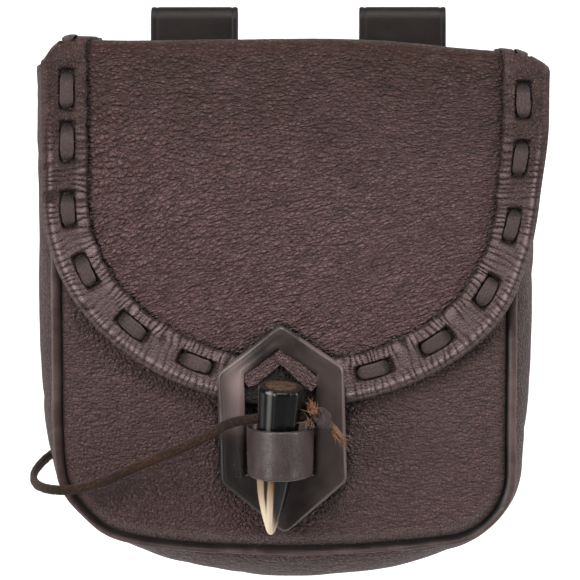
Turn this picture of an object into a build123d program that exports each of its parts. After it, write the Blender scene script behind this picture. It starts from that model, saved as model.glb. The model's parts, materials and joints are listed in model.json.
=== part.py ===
"""Leather belt pouch: laced round flap, closure tab, horn toggle, tether thong and two belt loops.

Millimetres, +Z up. The front faces -Y and the wearer's belt runs along X through the origin. Front
faces are drawn on Plane.XZ, whose normal is -Y, so a depth is a distance forward of the belt.
"""

import os
from math import atan2, cos, pi, sin, sqrt, tan

from build123d import *

os.makedirs("parts", exist_ok=True)

# Leather and thread.
LEATHER = 2.4
STRIP = 1.4  # border strip and welts
LACE = 1.0
GAP = 0.4  # clearance between bodies that move apart

# Belt passage.
BELT_GAP = 6.0
LOOP_THICK = 2.6
LOOP_WIDTH = 37.0
LOOP_TOP = 31.4  # top of the passage
LOOP_BOTTOM = -31.4
LOOP_TAIL = -48.0  # lower end of the sewn tail
LOOP_X = {"left": -41.0, "right": 47.0}

# Pouch outline at its seams: straight sides, round lower corners, a slightly curved bottom.
SEAM_HALF = 90.5
MOUTH_Z = 11.5
SEAM_BOTTOM = -187.0
CORNER_R = 26.0
BOTTOM_R = 500.0
BULGE = 12.0  # how far the gusset swells beyond the seams

# Depths forward of the belt, from the back to the front.
BACK_REAR = BELT_GAP / 2 + LOOP_THICK
BACK_FRONT = BACK_REAR + LEATHER
GUSSET_REAR = BACK_FRONT + STRIP
GUSSET_FRONT = GUSSET_REAR + 47.6
FRONT_REAR = GUSSET_FRONT + STRIP
FRONT_FACE = FRONT_REAR + 6.0
DROP_REAR = FRONT_FACE + GAP
DROP_FRONT = DROP_REAR + LEATHER
STRIP_FRONT = DROP_FRONT + STRIP
TAB_THICK = 2.8
TAB_FRONT = STRIP_FRONT + TAB_THICK

# Flap outline.
FLAP_X = 3.0
FLAP_HALF = 101.0
FLAP_ROUND_Z = -45.0  # where the straight sides end
FLAP_ROUND_DROP = 81.0  # height of the half ellipse below that
BORDER = 18.5

# Visible lace stitches on each side: heights on the straight edge, then turns round the half ellipse.
LACE_SIZE = (14.0, 5.8)
LACE_HEIGHTS = {"left": (-0.3, -21.2), "right": (-0.3, -26.0)}
LACE_TURNS = {"left": (2.7, 23.0, 44.6, 64.5), "right": (7.5, 30.0, 51.5, 69.5)}

# Hinge lines of the flap: at the back edge, and below the front fold.
FOLD_R = 7.2  # to the middle of the leather
LIFT_DEPTH = 8.0
TOP_Z = 18.6  # middle of the flap top
DROP_MID = DROP_REAR + LEATHER / 2
UNFOLD_Z = TOP_Z - FOLD_R - LEATHER / 2 - 0.3

# Closure tab.
TAB_X = -2.4
TAB_HALF = 25.6
TAB_APEX = -93.0
TAB_SHOULDER = -112.0
TAB_HIP = -158.0
TAB_TIP = -179.0
WINDOW_HALF = 14.3
WINDOW_APEX = -103.5
WINDOW_SHOULDER = -115.0
WINDOW_SILL = -157.5

# Keeper loop.
KEEPER_HALF = 13.4
KEEPER_TOP = -133.0
KEEPER_HEIGHT = 19.5
KEEPER_WALL = 2.2
KEEPER_FRONT = 96.8

# Horn toggle: its axis runs from the tip up to the cut end, leaning forward.
HORN_TIP = Vector(-6.3, -77.0, -177.3)
HORN_TOP = Vector(-1.8, -88.0, -116.0)
HORN_LENGTH = (HORN_TOP - HORN_TIP).length
HORN_HOLE = 12.0  # cross hole below the cut end

# Tether thong.
THONG = 4.0
KNOT_R = 4.6


def save(part, name):
    part.label = name
    export_step(part, f"parts/{name}.step")


def front_plane(depth):
    """A plane facing forward, at a depth forward of the belt."""
    return Plane.XZ.offset(depth)


def pouch_outline(grow, top):
    """Draws the pouch's outline, grown outward, as a closed line up to the height top."""
    side = SEAM_HALF + grow
    corner_x = SEAM_HALF - CORNER_R
    centre_z = SEAM_BOTTOM + BOTTOM_R
    corner_z = centre_z - sqrt((BOTTOM_R - CORNER_R) ** 2 - corner_x**2)
    away = Vector(corner_x, corner_z - centre_z).normalized()
    join = Vector(0, centre_z) + away * (BOTTOM_R + grow)
    middle = Vector(corner_x, corner_z) + (away + Vector(1, 0)).normalized() * (CORNER_R + grow)
    low = SEAM_BOTTOM - grow
    Line((-side, top), (-side, corner_z))
    ThreePointArc((-side, corner_z), (-middle.X, middle.Y), (-join.X, join.Y))
    ThreePointArc((-join.X, join.Y), (0, low), (join.X, join.Y))
    ThreePointArc((join.X, join.Y), (middle.X, middle.Y), (side, corner_z))
    Line((side, corner_z), (side, top))


def pouch_face(grow, top, mode=Mode.ADD):
    """The face inside the grown outline, in the current sketch."""
    with BuildLine() as line:
        pouch_outline(grow, top)
        Line((SEAM_HALF + grow, top), (-SEAM_HALF - grow, top))
    make_face(line.edges(), mode=mode)


def flap_face(inset, top, mode=Mode.ADD):
    """The face inside the flap's outline, set in by inset, in the current sketch."""
    half = FLAP_HALF - inset
    left = FLAP_X - half
    right = FLAP_X + half
    with BuildLine() as line:
        Polyline((left, FLAP_ROUND_Z), (left, top), (right, top), (right, FLAP_ROUND_Z))
        EllipticalCenterArc(
            (FLAP_X, FLAP_ROUND_Z), half, FLAP_ROUND_DROP - inset, start_angle=180, arc_size=180
        )
    make_face(line.edges(), mode=mode)


def fold_profile(inner, outer, rear):
    """A strip that lies on the flap top and turns down over the front fold, in a side view.

    inner and outer are its distances from the fold's centre, rear is its back end.
    """
    centre = (-DROP_MID + FOLD_R, TOP_Z - FOLD_R)
    with BuildLine() as line:
        Line((rear, centre[1] + outer), (centre[0], centre[1] + outer))
        CenterArc(centre, outer, 90, 90)
        Line((centre[0] - outer, centre[1]), (centre[0] - inner, centre[1]))
        CenterArc(centre, inner, 90, 90)
        Line((centre[0], centre[1] + inner), (rear, centre[1] + inner))
        Line((rear, centre[1] + inner), (rear, centre[1] + outer))
    make_face(line.edges())


# ---------------------------------------------------------------------------------------------
# Pouch body
# ---------------------------------------------------------------------------------------------


def back_panel():
    """Flat back, with the hole that the thong passes through."""
    with BuildPart() as panel:
        with BuildSketch(front_plane(BACK_REAR)):
            pouch_face(0, TOP_Z - LEATHER / 2 - 0.3)
        extrude(amount=LEATHER)
        with BuildSketch(front_plane(BACK_REAR)):
            with Locations((THONG_ROUTE[0][0], THONG_ROUTE[0][2])):
                Circle(THONG / 2 + 0.2)
        extrude(amount=LEATHER, mode=Mode.SUBTRACT)
    return panel.part


def welt(depth):
    """Thin strip in a seam, standing a little proud of it."""
    proud = 2.2
    with BuildPart() as strip:
        with BuildSketch(front_plane(depth)):
            pouch_face(proud, MOUTH_Z)
            pouch_face(-5.0, MOUTH_Z, mode=Mode.SUBTRACT)
        extrude(amount=STRIP)
    return strip.part


def gusset():
    """Leather band round the sides and the bottom, swelling outward between the two seams."""
    middle = (GUSSET_REAR + GUSSET_FRONT) / 2
    half = (GUSSET_FRONT - GUSSET_REAR) / 2
    start = Plane(origin=(-SEAM_HALF, -middle, MOUTH_Z), x_dir=(-1, 0, 0), z_dir=(0, 0, -1))
    with BuildPart() as band:
        with BuildLine(front_plane(middle)) as seam:
            pouch_outline(0, MOUTH_Z)
        with BuildSketch(start):
            with BuildLine():
                ThreePointArc((0, -half), (BULGE, 0), (0, half))
                Line((0, half), (-LEATHER, half))
                ThreePointArc((-LEATHER, half), (BULGE - LEATHER, 0), (-LEATHER, -half))
                Line((-LEATHER, -half), (0, -half))
            make_face()
        sweep(path=seam.wires()[0])
    return band.part


def front_panel():
    """Shallow leather dome: a tray with rounded edges, open at the mouth."""
    above = 20.0
    with BuildPart() as panel:
        with BuildSketch(front_plane(FRONT_REAR)):
            pouch_face(0, MOUTH_Z + above)
        extrude(amount=FRONT_FACE - FRONT_REAR)
        fillet(panel.faces().sort_by(Axis.Y)[0].edges(), radius=5.0)
        with BuildSketch(front_plane(FRONT_REAR)):
            pouch_face(-LEATHER, MOUTH_Z + above)
        extrude(amount=FRONT_FACE - FRONT_REAR - LEATHER, mode=Mode.SUBTRACT)
        split(bisect_by=Plane.XY.offset(MOUTH_Z - 1.5), keep=Keep.BOTTOM)
    return panel.part


def belt_loop(middle_x):
    """Leather strap folded over the belt, both ends sewn to the back panel in one tail."""
    outer = BELT_GAP / 2 + LOOP_THICK
    with BuildPart() as loop:
        with BuildSketch(Plane.YZ.offset(middle_x - LOOP_WIDTH / 2)):
            with BuildLine():
                Line((-outer, LOOP_TAIL), (-outer, LOOP_TOP - 3))
                ThreePointArc((-outer, LOOP_TOP - 3), (0, LOOP_TOP + LOOP_THICK), (outer, LOOP_TOP - 3))
                Line((outer, LOOP_TOP - 3), (outer, LOOP_BOTTOM))
                Line((outer, LOOP_BOTTOM), (-outer + 2 * LOOP_THICK, LOOP_BOTTOM - 7))
                Line((-outer + 2 * LOOP_THICK, LOOP_BOTTOM - 7), (-outer + 2 * LOOP_THICK, LOOP_TAIL))
                Line((-outer + 2 * LOOP_THICK, LOOP_TAIL), (-outer, LOOP_TAIL))
            make_face()
            with BuildLine():
                inner = BELT_GAP / 2
                Line((-inner, LOOP_BOTTOM), (-inner, LOOP_TOP - 3))
                ThreePointArc((-inner, LOOP_TOP - 3), (0, LOOP_TOP), (inner, LOOP_TOP - 3))
                Line((inner, LOOP_TOP - 3), (inner, LOOP_BOTTOM + 1))
                Line((inner, LOOP_BOTTOM + 1), (-inner, LOOP_BOTTOM - 2))
                Line((-inner, LOOP_BOTTOM - 2), (-inner, LOOP_BOTTOM))
            make_face(mode=Mode.SUBTRACT)
        extrude(amount=LOOP_WIDTH)
    return loop.part


def stitch_rows(plane, middle_x, heights, count, pitch, proud):
    """Rows of short thread lengths that lie on a plane, one row at each height."""
    with BuildPart() as rows:
        with BuildSketch(plane):
            for height in heights:
                with Locations((middle_x, height)):
                    with GridLocations(pitch, 1, count, 1):
                        SlotOverall(0.7 * pitch, 1.0)
        extrude(amount=proud)
    return rows.part


def loop_stitches(middle_x):
    """Two rows of thread across the tail of a belt loop, on its rear face."""
    rear = BACK_REAR - 2 * LOOP_THICK
    return stitch_rows(front_plane(rear), middle_x, (LOOP_TAIL + 3, LOOP_TAIL + 7), 7, 4.4, -0.5)


def keeper_loop():
    """Leather ring sewn to the front panel, which pokes through the tab's window."""
    depth = KEEPER_FRONT - FRONT_FACE
    middle = FRONT_FACE + depth / 2
    with BuildPart() as keeper:
        with BuildSketch(Plane.XY.offset(KEEPER_TOP)):
            with Locations((TAB_X, -middle)):
                RectangleRounded(2 * KEEPER_HALF, depth, 8.5)
                Rectangle(2 * KEEPER_HALF - 17.0, depth)
            with Locations((TAB_X, -middle)):
                RectangleRounded(
                    2 * (KEEPER_HALF - KEEPER_WALL), depth - 2 * KEEPER_WALL, 6.3, mode=Mode.SUBTRACT
                )
        extrude(amount=-KEEPER_HEIGHT)
        rims = keeper.faces().filter_by(Axis.Z).edges()
        fillet(rims, radius=0.5)
    return keeper.part


def keeper_stitches():
    """Thread through the keeper's base, above and below the horn."""
    base = front_plane(FRONT_FACE + KEEPER_WALL)
    heights = (KEEPER_TOP - 3.5, KEEPER_TOP - KEEPER_HEIGHT + 3.5)
    return stitch_rows(base, TAB_X, heights, 3, 4.0, 0.4)


# ---------------------------------------------------------------------------------------------
# Flap
# ---------------------------------------------------------------------------------------------


def flap_top():
    """Part of the flap over the mouth, from the back hinge line round the front fold."""
    with BuildPart() as top:
        with BuildSketch(Plane.YZ.offset(FLAP_X - FLAP_HALF)):
            fold_profile(FOLD_R - LEATHER / 2, FOLD_R + LEATHER / 2, -LIFT_DEPTH)
            with Locations((-LIFT_DEPTH, TOP_Z)):
                Circle(LEATHER / 2)
        extrude(amount=2 * FLAP_HALF)
    return top.part


def border_top(from_x):
    """Border strip along one side of the flap top."""
    with BuildPart() as strip:
        with BuildSketch(Plane.YZ.offset(from_x)):
            fold_profile(FOLD_R + LEATHER / 2, FOLD_R + LEATHER / 2 + STRIP, -LIFT_DEPTH - 1)
        extrude(amount=BORDER)
    return strip.part


def flap_drop():
    """Part of the flap that hangs in front. Its rounded top edge turns on the second hinge line."""
    with BuildPart() as drop:
        with BuildSketch(front_plane(DROP_REAR)):
            flap_face(0, UNFOLD_Z + LEATHER / 2)
        extrude(amount=LEATHER)
        fillet(drop.faces().sort_by(Axis.Z)[-1].edges().filter_by(Axis.X), radius=LEATHER / 2 - 0.05)
    return drop.part


def flap_border():
    """Border strip round the drop's edge, open behind the tab's window.

    It stops short of the hinge line, clear of the top strips when the flap unfolds.
    """
    top = UNFOLD_Z - 3.0
    with BuildPart() as strip:
        with BuildSketch(front_plane(DROP_FRONT)):
            flap_face(0, top)
            flap_face(BORDER, top, mode=Mode.SUBTRACT)
            with BuildLine():
                window_line(1.2)
            make_face(mode=Mode.SUBTRACT)
        extrude(amount=STRIP)
    return strip.part


def lace(name, side):
    """Visible stitches of the flat lace, along the edge. side is -1 on the left, 1 on the right."""
    half = FLAP_HALF - BORDER / 2
    drop = FLAP_ROUND_DROP - BORDER / 2
    with BuildPart() as stitches:
        with BuildSketch(front_plane(STRIP_FRONT)):
            for height in LACE_HEIGHTS[name]:
                with Locations((FLAP_X + side * half, height)):
                    SlotOverall(*LACE_SIZE, rotation=90)
            for turn in LACE_TURNS[name]:
                at = turn * pi / 180
                along = atan2(half * sin(at), drop * cos(at)) * 180 / pi + 90
                place = (FLAP_X + side * half * cos(at), FLAP_ROUND_Z - drop * sin(at), 0)
                with Locations(Location(place, (0, 0, -side * along))):
                    SlotOverall(*LACE_SIZE)
        extrude(amount=LACE)
    return stitches.part


def window_line(grow):
    """Draws the window's house shape, grown outward, in the current sketch's lines."""
    half = WINDOW_HALF + grow
    Polyline(
        (TAB_X, WINDOW_APEX + grow),
        (TAB_X + half, WINDOW_SHOULDER + grow),
        (TAB_X + half, WINDOW_SILL - grow),
        (TAB_X - half, WINDOW_SILL - grow),
        (TAB_X - half, WINDOW_SHOULDER + grow),
        close=True,
    )


def closure_tab():
    """Six-sided leather frame with a house-shaped window, its front edges bevelled."""
    with BuildPart() as tab:
        with BuildSketch(front_plane(STRIP_FRONT)) as outline:
            with BuildLine():
                Polyline(
                    (TAB_X, TAB_APEX),
                    (TAB_X + TAB_HALF, TAB_SHOULDER),
                    (TAB_X + TAB_HALF, TAB_HIP),
                    (TAB_X, TAB_TIP),
                    (TAB_X - TAB_HALF, TAB_HIP),
                    (TAB_X - TAB_HALF, TAB_SHOULDER),
                    close=True,
                )
            make_face()
            fillet(outline.vertices(), radius=3.0)
            with BuildLine():
                window_line(0)
            make_face(mode=Mode.SUBTRACT)
        extrude(amount=TAB_THICK)
        chamfer(tab.faces().sort_by(Axis.Y)[0].edges(), length=0.8)
    return tab.part


def window_fold(side):
    """Folded strip that slants across the roof of the window, on the flap's face."""
    lean = 40.0
    length = 17.0
    middle = (TAB_X + side * 6.9, WINDOW_SHOULDER - 0.6)
    with BuildPart() as fold:
        with BuildSketch(front_plane(DROP_FRONT)):
            with Locations(Location((*middle, 0), (0, 0, -side * lean))):
                Rectangle(length, 6.0)
            with Locations((TAB_X - side * 20, WINDOW_SHOULDER)):
                Rectangle(40, 60, mode=Mode.SUBTRACT)
        extrude(amount=STRIP - 0.1)
    return fold.part


# ---------------------------------------------------------------------------------------------
# Horn toggle and its tether
# ---------------------------------------------------------------------------------------------

AXIS_UP = (HORN_TOP - HORN_TIP).normalized()
ACROSS = (Vector(1, 0, 0) - AXIS_UP * AXIS_UP.X).normalized()
HOLE_AT = HORN_TOP - AXIS_UP * HORN_HOLE

# Middle line of the thong, from the knot inside the back panel, round the pouch's left side and
# across the front to the horn's cross hole.
THONG_ROUTE = (
    (-52.0, -9.0, -121.0),
    (-52.0, 0.0, -121.0),
    (-63.0, 0.0, -129.0),
    (-80.0, -2.8, -141.0),
    (-97.0, -3.0, -153.0),
    (-105.1, -18.0, -158.5),
    (-105.6, -44.0, -161.5),
    (-97.5, -64.0, -162.5),
    (-80.0, -69.2, -160.5),
    (-56.0, -70.2, -149.2),
    (-31.0, -77.0, -136.5),
    (-19.6, -86.1, -126.6),
    (7.3, -85.8, -128.5),
)


def route_radii(route):
    """For each inner point of a route, 0.45 of its shorter run over the tangent of half its turn."""
    points = [Vector(*point) for point in route]
    radii = []
    for before, here, after in zip(points, points[1:], points[2:]):
        into = here - before
        out = after - here
        half_turn = into.get_angle(out) * pi / 360
        radii.append(0.45 * min(into.length, out.length) / tan(half_turn))
    return radii


def tether():
    """The thong as a round tube along its middle line."""
    with BuildPart() as thong:
        with BuildLine() as route:
            FilletPolyline(*THONG_ROUTE, radius=route_radii(THONG_ROUTE))
        line = route.wires()[0]
        with BuildSketch(Plane(origin=line @ 0, z_dir=line % 0)):
            Circle(THONG / 2)
        sweep(path=line)
    return thong.part


def anchor_knot():
    """Knot inside the pouch that stops the thong in the back panel's hole."""
    x, y, z = THONG_ROUTE[0]
    with BuildPart() as knot:
        with BuildSketch(Plane.XZ.offset(-y)):
            with Locations((x, z)):
                Circle(KNOT_R)
        extrude(amount=5.5)
        fillet(knot.edges().sort_by(Axis.Y)[0], radius=3.0)
    return knot.part


def horn_toggle():
    """Turned horn with a domed cut end, a taper to the tip and a cross hole for the thong."""
    side_plane = Plane(origin=HORN_TIP, x_dir=ACROSS, z_dir=ACROSS.cross(AXIS_UP))
    with BuildPart() as horn:
        with BuildSketch(side_plane):
            with BuildLine():
                Line((0, 0), (1.3, 0.6))
                Spline((1.3, 0.6), (4.4, 11), (7.4, 25), (8.1, 42), (9.1, HORN_LENGTH - 1.2))
                Line((9.1, HORN_LENGTH - 1.2), (8.2, HORN_LENGTH))
                Line((8.2, HORN_LENGTH), (0, HORN_LENGTH))
                Line((0, HORN_LENGTH), (0, 0))
            make_face()
        revolve(axis=Axis(HORN_TIP, AXIS_UP))
        with BuildSketch(Plane(origin=HOLE_AT - ACROSS * 12, z_dir=ACROSS)):
            Circle(THONG / 2 + 0.3)
        extrude(amount=24, mode=Mode.SUBTRACT)
    return horn.part


def toggle_knot():
    """Overhand knot at the end of the thong, against the right side of the horn."""
    start = HOLE_AT + ACROSS * 10.0
    with BuildPart() as knot:
        with BuildSketch(Plane(origin=start, x_dir=AXIS_UP, z_dir=ACROSS)):
            Ellipse(4.2, 3.8)
        extrude(amount=8.0)
        fillet(knot.edges(), radius=2.4)
    return knot.part


def thong_end():
    """Short frayed end that hangs from the knot."""
    start = HOLE_AT + ACROSS * 16.0 - AXIS_UP * 4.3
    way = Vector(0.7, 0.25, -1.0).normalized()
    with BuildPart() as end:
        with BuildSketch(Plane(origin=start, z_dir=way)):
            Circle(1.5)
        extrude(amount=13.0)
    return end.part


save(back_panel(), "back_panel")
save(welt(BACK_FRONT), "back_welt")
save(gusset(), "gusset")
save(welt(GUSSET_FRONT), "front_welt")
save(front_panel(), "front_panel")
for name, middle_x in LOOP_X.items():
    save(belt_loop(middle_x), f"belt_loop_{name}")
    save(loop_stitches(middle_x), f"belt_loop_stitches_{name}")
save(keeper_loop(), "keeper_loop")
save(keeper_stitches(), "keeper_stitches")
save(flap_top(), "flap_top")
save(border_top(FLAP_X - FLAP_HALF), "flap_border_top_left")
save(border_top(FLAP_X + FLAP_HALF - BORDER), "flap_border_top_right")
save(flap_drop(), "flap_drop")
save(flap_border(), "flap_border")
save(lace("left", -1), "edge_lace_left")
save(lace("right", 1), "edge_lace_right")
save(closure_tab(), "closure_tab")
save(window_fold(-1), "window_fold_left")
save(window_fold(1), "window_fold_right")
save(tether(), "tether")
save(anchor_knot(), "anchor_knot")
save(horn_toggle(), "horn_toggle")
save(toggle_knot(), "toggle_knot")
save(thong_end(), "thong_end")
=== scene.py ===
"""Leather belt pouch: the looks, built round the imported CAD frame.

Lengths are in millimetres until a mesh is made, unless a name says otherwise. The front faces -Y.
"""

import json
import math

import bmesh
import bpy
import numpy as np
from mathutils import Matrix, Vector


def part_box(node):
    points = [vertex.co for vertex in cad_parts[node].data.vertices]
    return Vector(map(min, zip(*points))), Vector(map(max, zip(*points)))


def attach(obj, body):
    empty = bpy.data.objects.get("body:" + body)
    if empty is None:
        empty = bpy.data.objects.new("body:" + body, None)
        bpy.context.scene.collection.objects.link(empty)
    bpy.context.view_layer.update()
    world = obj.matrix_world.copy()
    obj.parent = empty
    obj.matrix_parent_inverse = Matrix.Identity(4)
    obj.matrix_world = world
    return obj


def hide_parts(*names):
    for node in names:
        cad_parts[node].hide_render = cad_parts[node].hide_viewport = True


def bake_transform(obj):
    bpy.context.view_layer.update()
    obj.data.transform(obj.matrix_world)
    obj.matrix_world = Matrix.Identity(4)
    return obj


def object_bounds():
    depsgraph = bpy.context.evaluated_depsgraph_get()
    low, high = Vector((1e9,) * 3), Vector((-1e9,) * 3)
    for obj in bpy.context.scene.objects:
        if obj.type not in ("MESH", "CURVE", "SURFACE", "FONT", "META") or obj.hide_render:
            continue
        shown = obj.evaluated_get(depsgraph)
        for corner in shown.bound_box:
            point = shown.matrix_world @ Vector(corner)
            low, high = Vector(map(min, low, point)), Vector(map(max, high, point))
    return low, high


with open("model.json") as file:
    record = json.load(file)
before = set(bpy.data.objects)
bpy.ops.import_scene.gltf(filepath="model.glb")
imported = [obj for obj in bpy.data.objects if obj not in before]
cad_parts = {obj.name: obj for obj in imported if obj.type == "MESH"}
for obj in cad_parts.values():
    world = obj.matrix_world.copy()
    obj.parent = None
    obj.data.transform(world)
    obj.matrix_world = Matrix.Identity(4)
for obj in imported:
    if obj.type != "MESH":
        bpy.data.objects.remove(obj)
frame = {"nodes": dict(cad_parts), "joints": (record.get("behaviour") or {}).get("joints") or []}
cad_low, cad_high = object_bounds()

MM = 0.001
GRAIN_UV = "leather"  # this UV map holds millimetres on the flat leather
# The mesh attribute below carries painted shade (towards -1) and painted highlight (towards 1).
TONE = "tone"


def span(node):
    """A CAD node's box at rest."""
    low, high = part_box(node)
    return np.array(low) / MM, np.array(high) / MM


# ---------------------------------------------------------------------------------------------
# Noise, vectorised and seeded
# ---------------------------------------------------------------------------------------------


def hashed(i, j, seed):
    """A number from 0 to 1 for each whole-number place."""
    n = (i.astype(np.int64) * 374761393 + j.astype(np.int64) * 668265263 + seed * 974634777) & 0xFFFFFFFF
    n = ((n ^ (n >> 13)) * 1274126177) & 0xFFFFFFFF
    n = ((n ^ (n >> 16)) * 2246822519) & 0xFFFFFFFF
    return ((n ^ (n >> 15)) & 0xFFFFFF) / 0xFFFFFF


def noise(x, y, seed=0):
    """Smooth noise from -1 to 1, with features about one unit across."""
    x, y = np.broadcast_arrays(np.asarray(x, float), np.asarray(y, float))
    i, j = np.floor(x), np.floor(y)
    u, v = x - i, y - j
    u, v = u * u * (3 - 2 * u), v * v * (3 - 2 * v)
    low = hashed(i, j, seed) * (1 - u) + hashed(i + 1, j, seed) * u
    high = hashed(i, j + 1, seed) * (1 - u) + hashed(i + 1, j + 1, seed) * u
    return 2 * (low * (1 - v) + high * v) - 1


def fractal(x, y, seed=0, octaves=3):
    return sum(noise(x * 2**k, y * 2**k, seed + 17 * k) / 2**k for k in range(octaves)) / 1.6


def ridges(x, y, seed=0):
    """Narrow crests, 1 on a crest and 0 between crests."""
    return (1 - np.abs(fractal(x, y, seed, 2))) ** 4


def smooth(t):
    t = np.clip(t, 0, 1)
    return t * t * (3 - 2 * t)


# ---------------------------------------------------------------------------------------------
# Meshes
# ---------------------------------------------------------------------------------------------


def grid_faces(rows, cols, wrap=False, start=0):
    """Quads of a grid whose points are numbered row by row, the last column joined if wrap."""
    i, j = np.meshgrid(np.arange(rows - 1), np.arange(cols if wrap else cols - 1), indexing="ij")
    k = (j + 1) % cols
    quads = np.stack([i * cols + j, i * cols + k, (i + 1) * cols + k, (i + 1) * cols + j], axis=-1)
    return quads.reshape(-1, 4) + start


def make_piece(name, points, faces, flat, material, body=None, sharp_deg=50, tone=None):
    """A mesh object from points, faces and each point's place on the flat leather.

    tone darkens the leather towards -1 and lightens it towards 1: painted shade in creases, seams and hollows, and
    painted highlight on lit tops and edges.
    """
    mesh = bpy.data.meshes.new(name)
    mesh.from_pydata((np.asarray(points) * MM).tolist(), [], [list(map(int, face)) for face in faces])
    layer = mesh.uv_layers.new(name=GRAIN_UV)
    corner = np.empty(len(mesh.loops), np.int32)
    mesh.loops.foreach_get("vertex_index", corner)
    layer.data.foreach_set("uv", np.asarray(flat, np.float32)[corner].ravel())
    work = bmesh.new()
    work.from_mesh(mesh)
    bmesh.ops.recalc_face_normals(work, faces=work.faces)
    work.to_mesh(mesh)
    work.free()
    mesh.polygons.foreach_set("use_smooth", np.ones(len(mesh.polygons), bool))
    mesh.set_sharp_from_angle(angle=math.radians(sharp_deg))
    if tone is not None:
        mesh.attributes.new(TONE, "FLOAT", "POINT").data.foreach_set("value", np.ravel(tone).astype(np.float32))
    mesh.materials.append(material)
    piece = bpy.data.objects.new(name, mesh)
    bpy.context.scene.collection.objects.link(piece)
    if body:
        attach(piece, body)
    return piece


def sheet_piece(name, outer, inner, flat, material, body=None, tone=0.0):
    """A closed sheet of leather between two grids of the same size."""
    rows, cols = outer.shape[:2]
    count = rows * cols
    ids = np.arange(count).reshape(rows, cols)
    rim = np.concatenate([ids[0, :-1], ids[:-1, -1], ids[-1, :0:-1], ids[:0:-1, 0]])
    after = np.roll(rim, -1)
    wall = np.stack([rim, after, after + count, rim + count], axis=-1)
    faces = np.concatenate([grid_faces(rows, cols), grid_faces(rows, cols, start=count)[:, ::-1], wall])
    points = np.concatenate([outer.reshape(-1, 3), inner.reshape(-1, 3)])
    uv = np.asarray(flat).reshape(-1, 2)
    tones = np.tile(np.broadcast_to(tone, (rows, cols)).ravel(), 2)
    return make_piece(name, points, faces, np.concatenate([uv, uv]), material, body, tone=tones)


def tube_piece(name, rings, flat, material, body=None, closed=False, sharp_deg=50, tone=0.0):
    """A piece from closed rings of points, one per row, capped unless the rows close on themselves."""
    rows, cols = rings.shape[:2]
    faces = grid_faces(rows, cols, wrap=True)
    points, uv = rings.reshape(-1, 3), np.asarray(flat).reshape(-1, 2)
    tones = np.broadcast_to(tone, (rows, cols)).ravel()
    if closed:
        last = (rows - 1) * cols
        j = np.arange(cols)
        k = (j + 1) % cols
        faces = np.concatenate([faces, np.stack([last + j, last + k, k, j], axis=-1)]).tolist()
    else:
        first, final = rings[0].mean(axis=0), rings[-1].mean(axis=0)
        points = np.concatenate([points, [first, final]])
        uv = np.concatenate([uv, [flat[0].mean(axis=0), flat[-1].mean(axis=0)]])
        tones = np.concatenate([tones, tones[[0, -1]]])
        a, b = len(points) - 2, len(points) - 1
        base = (rows - 1) * cols
        faces = faces.tolist()
        faces += [[a, (j + 1) % cols, j] for j in range(cols)]
        faces += [[b, base + j, base + (j + 1) % cols] for j in range(cols)]
    return make_piece(name, points, faces, uv, material, body, sharp_deg, tones)


def strap_section(width, thick, edge=0.5, steps=4, groove=0.0, fine=14):
    """Closed cross-section of a strap as (across, height) points: rounded edges, pressed grooves."""
    half = width / 2
    top = np.linspace(-half + edge, half - edge, fine)
    lines = 0.0
    if groove:
        top = np.unique(np.concatenate([top, half - 2.4 + np.array([-0.6, 0, 0.6]), 2.4 - half + np.array([-0.6, 0, 0.6])]))
        lines = groove * np.exp(-(((np.abs(top) - half + 2.4) / 0.4) ** 2))
    turn = np.linspace(0, math.pi / 2, steps + 2)[1:-1]
    right = np.stack([half - edge + edge * np.sin(turn), thick - edge + edge * np.cos(turn)], axis=-1)
    upper = np.stack([top, thick - lines + 0 * top], axis=-1)
    left = right[::-1] * (-1, 1)
    lower = [(-half + 0.0, edge), (-half + edge, 0), (half - edge, 0), (half + 0.0, edge)]
    return np.concatenate([upper, right, np.array(lower)[::-1], left])


# ---------------------------------------------------------------------------------------------
# Materials
# ---------------------------------------------------------------------------------------------


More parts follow.
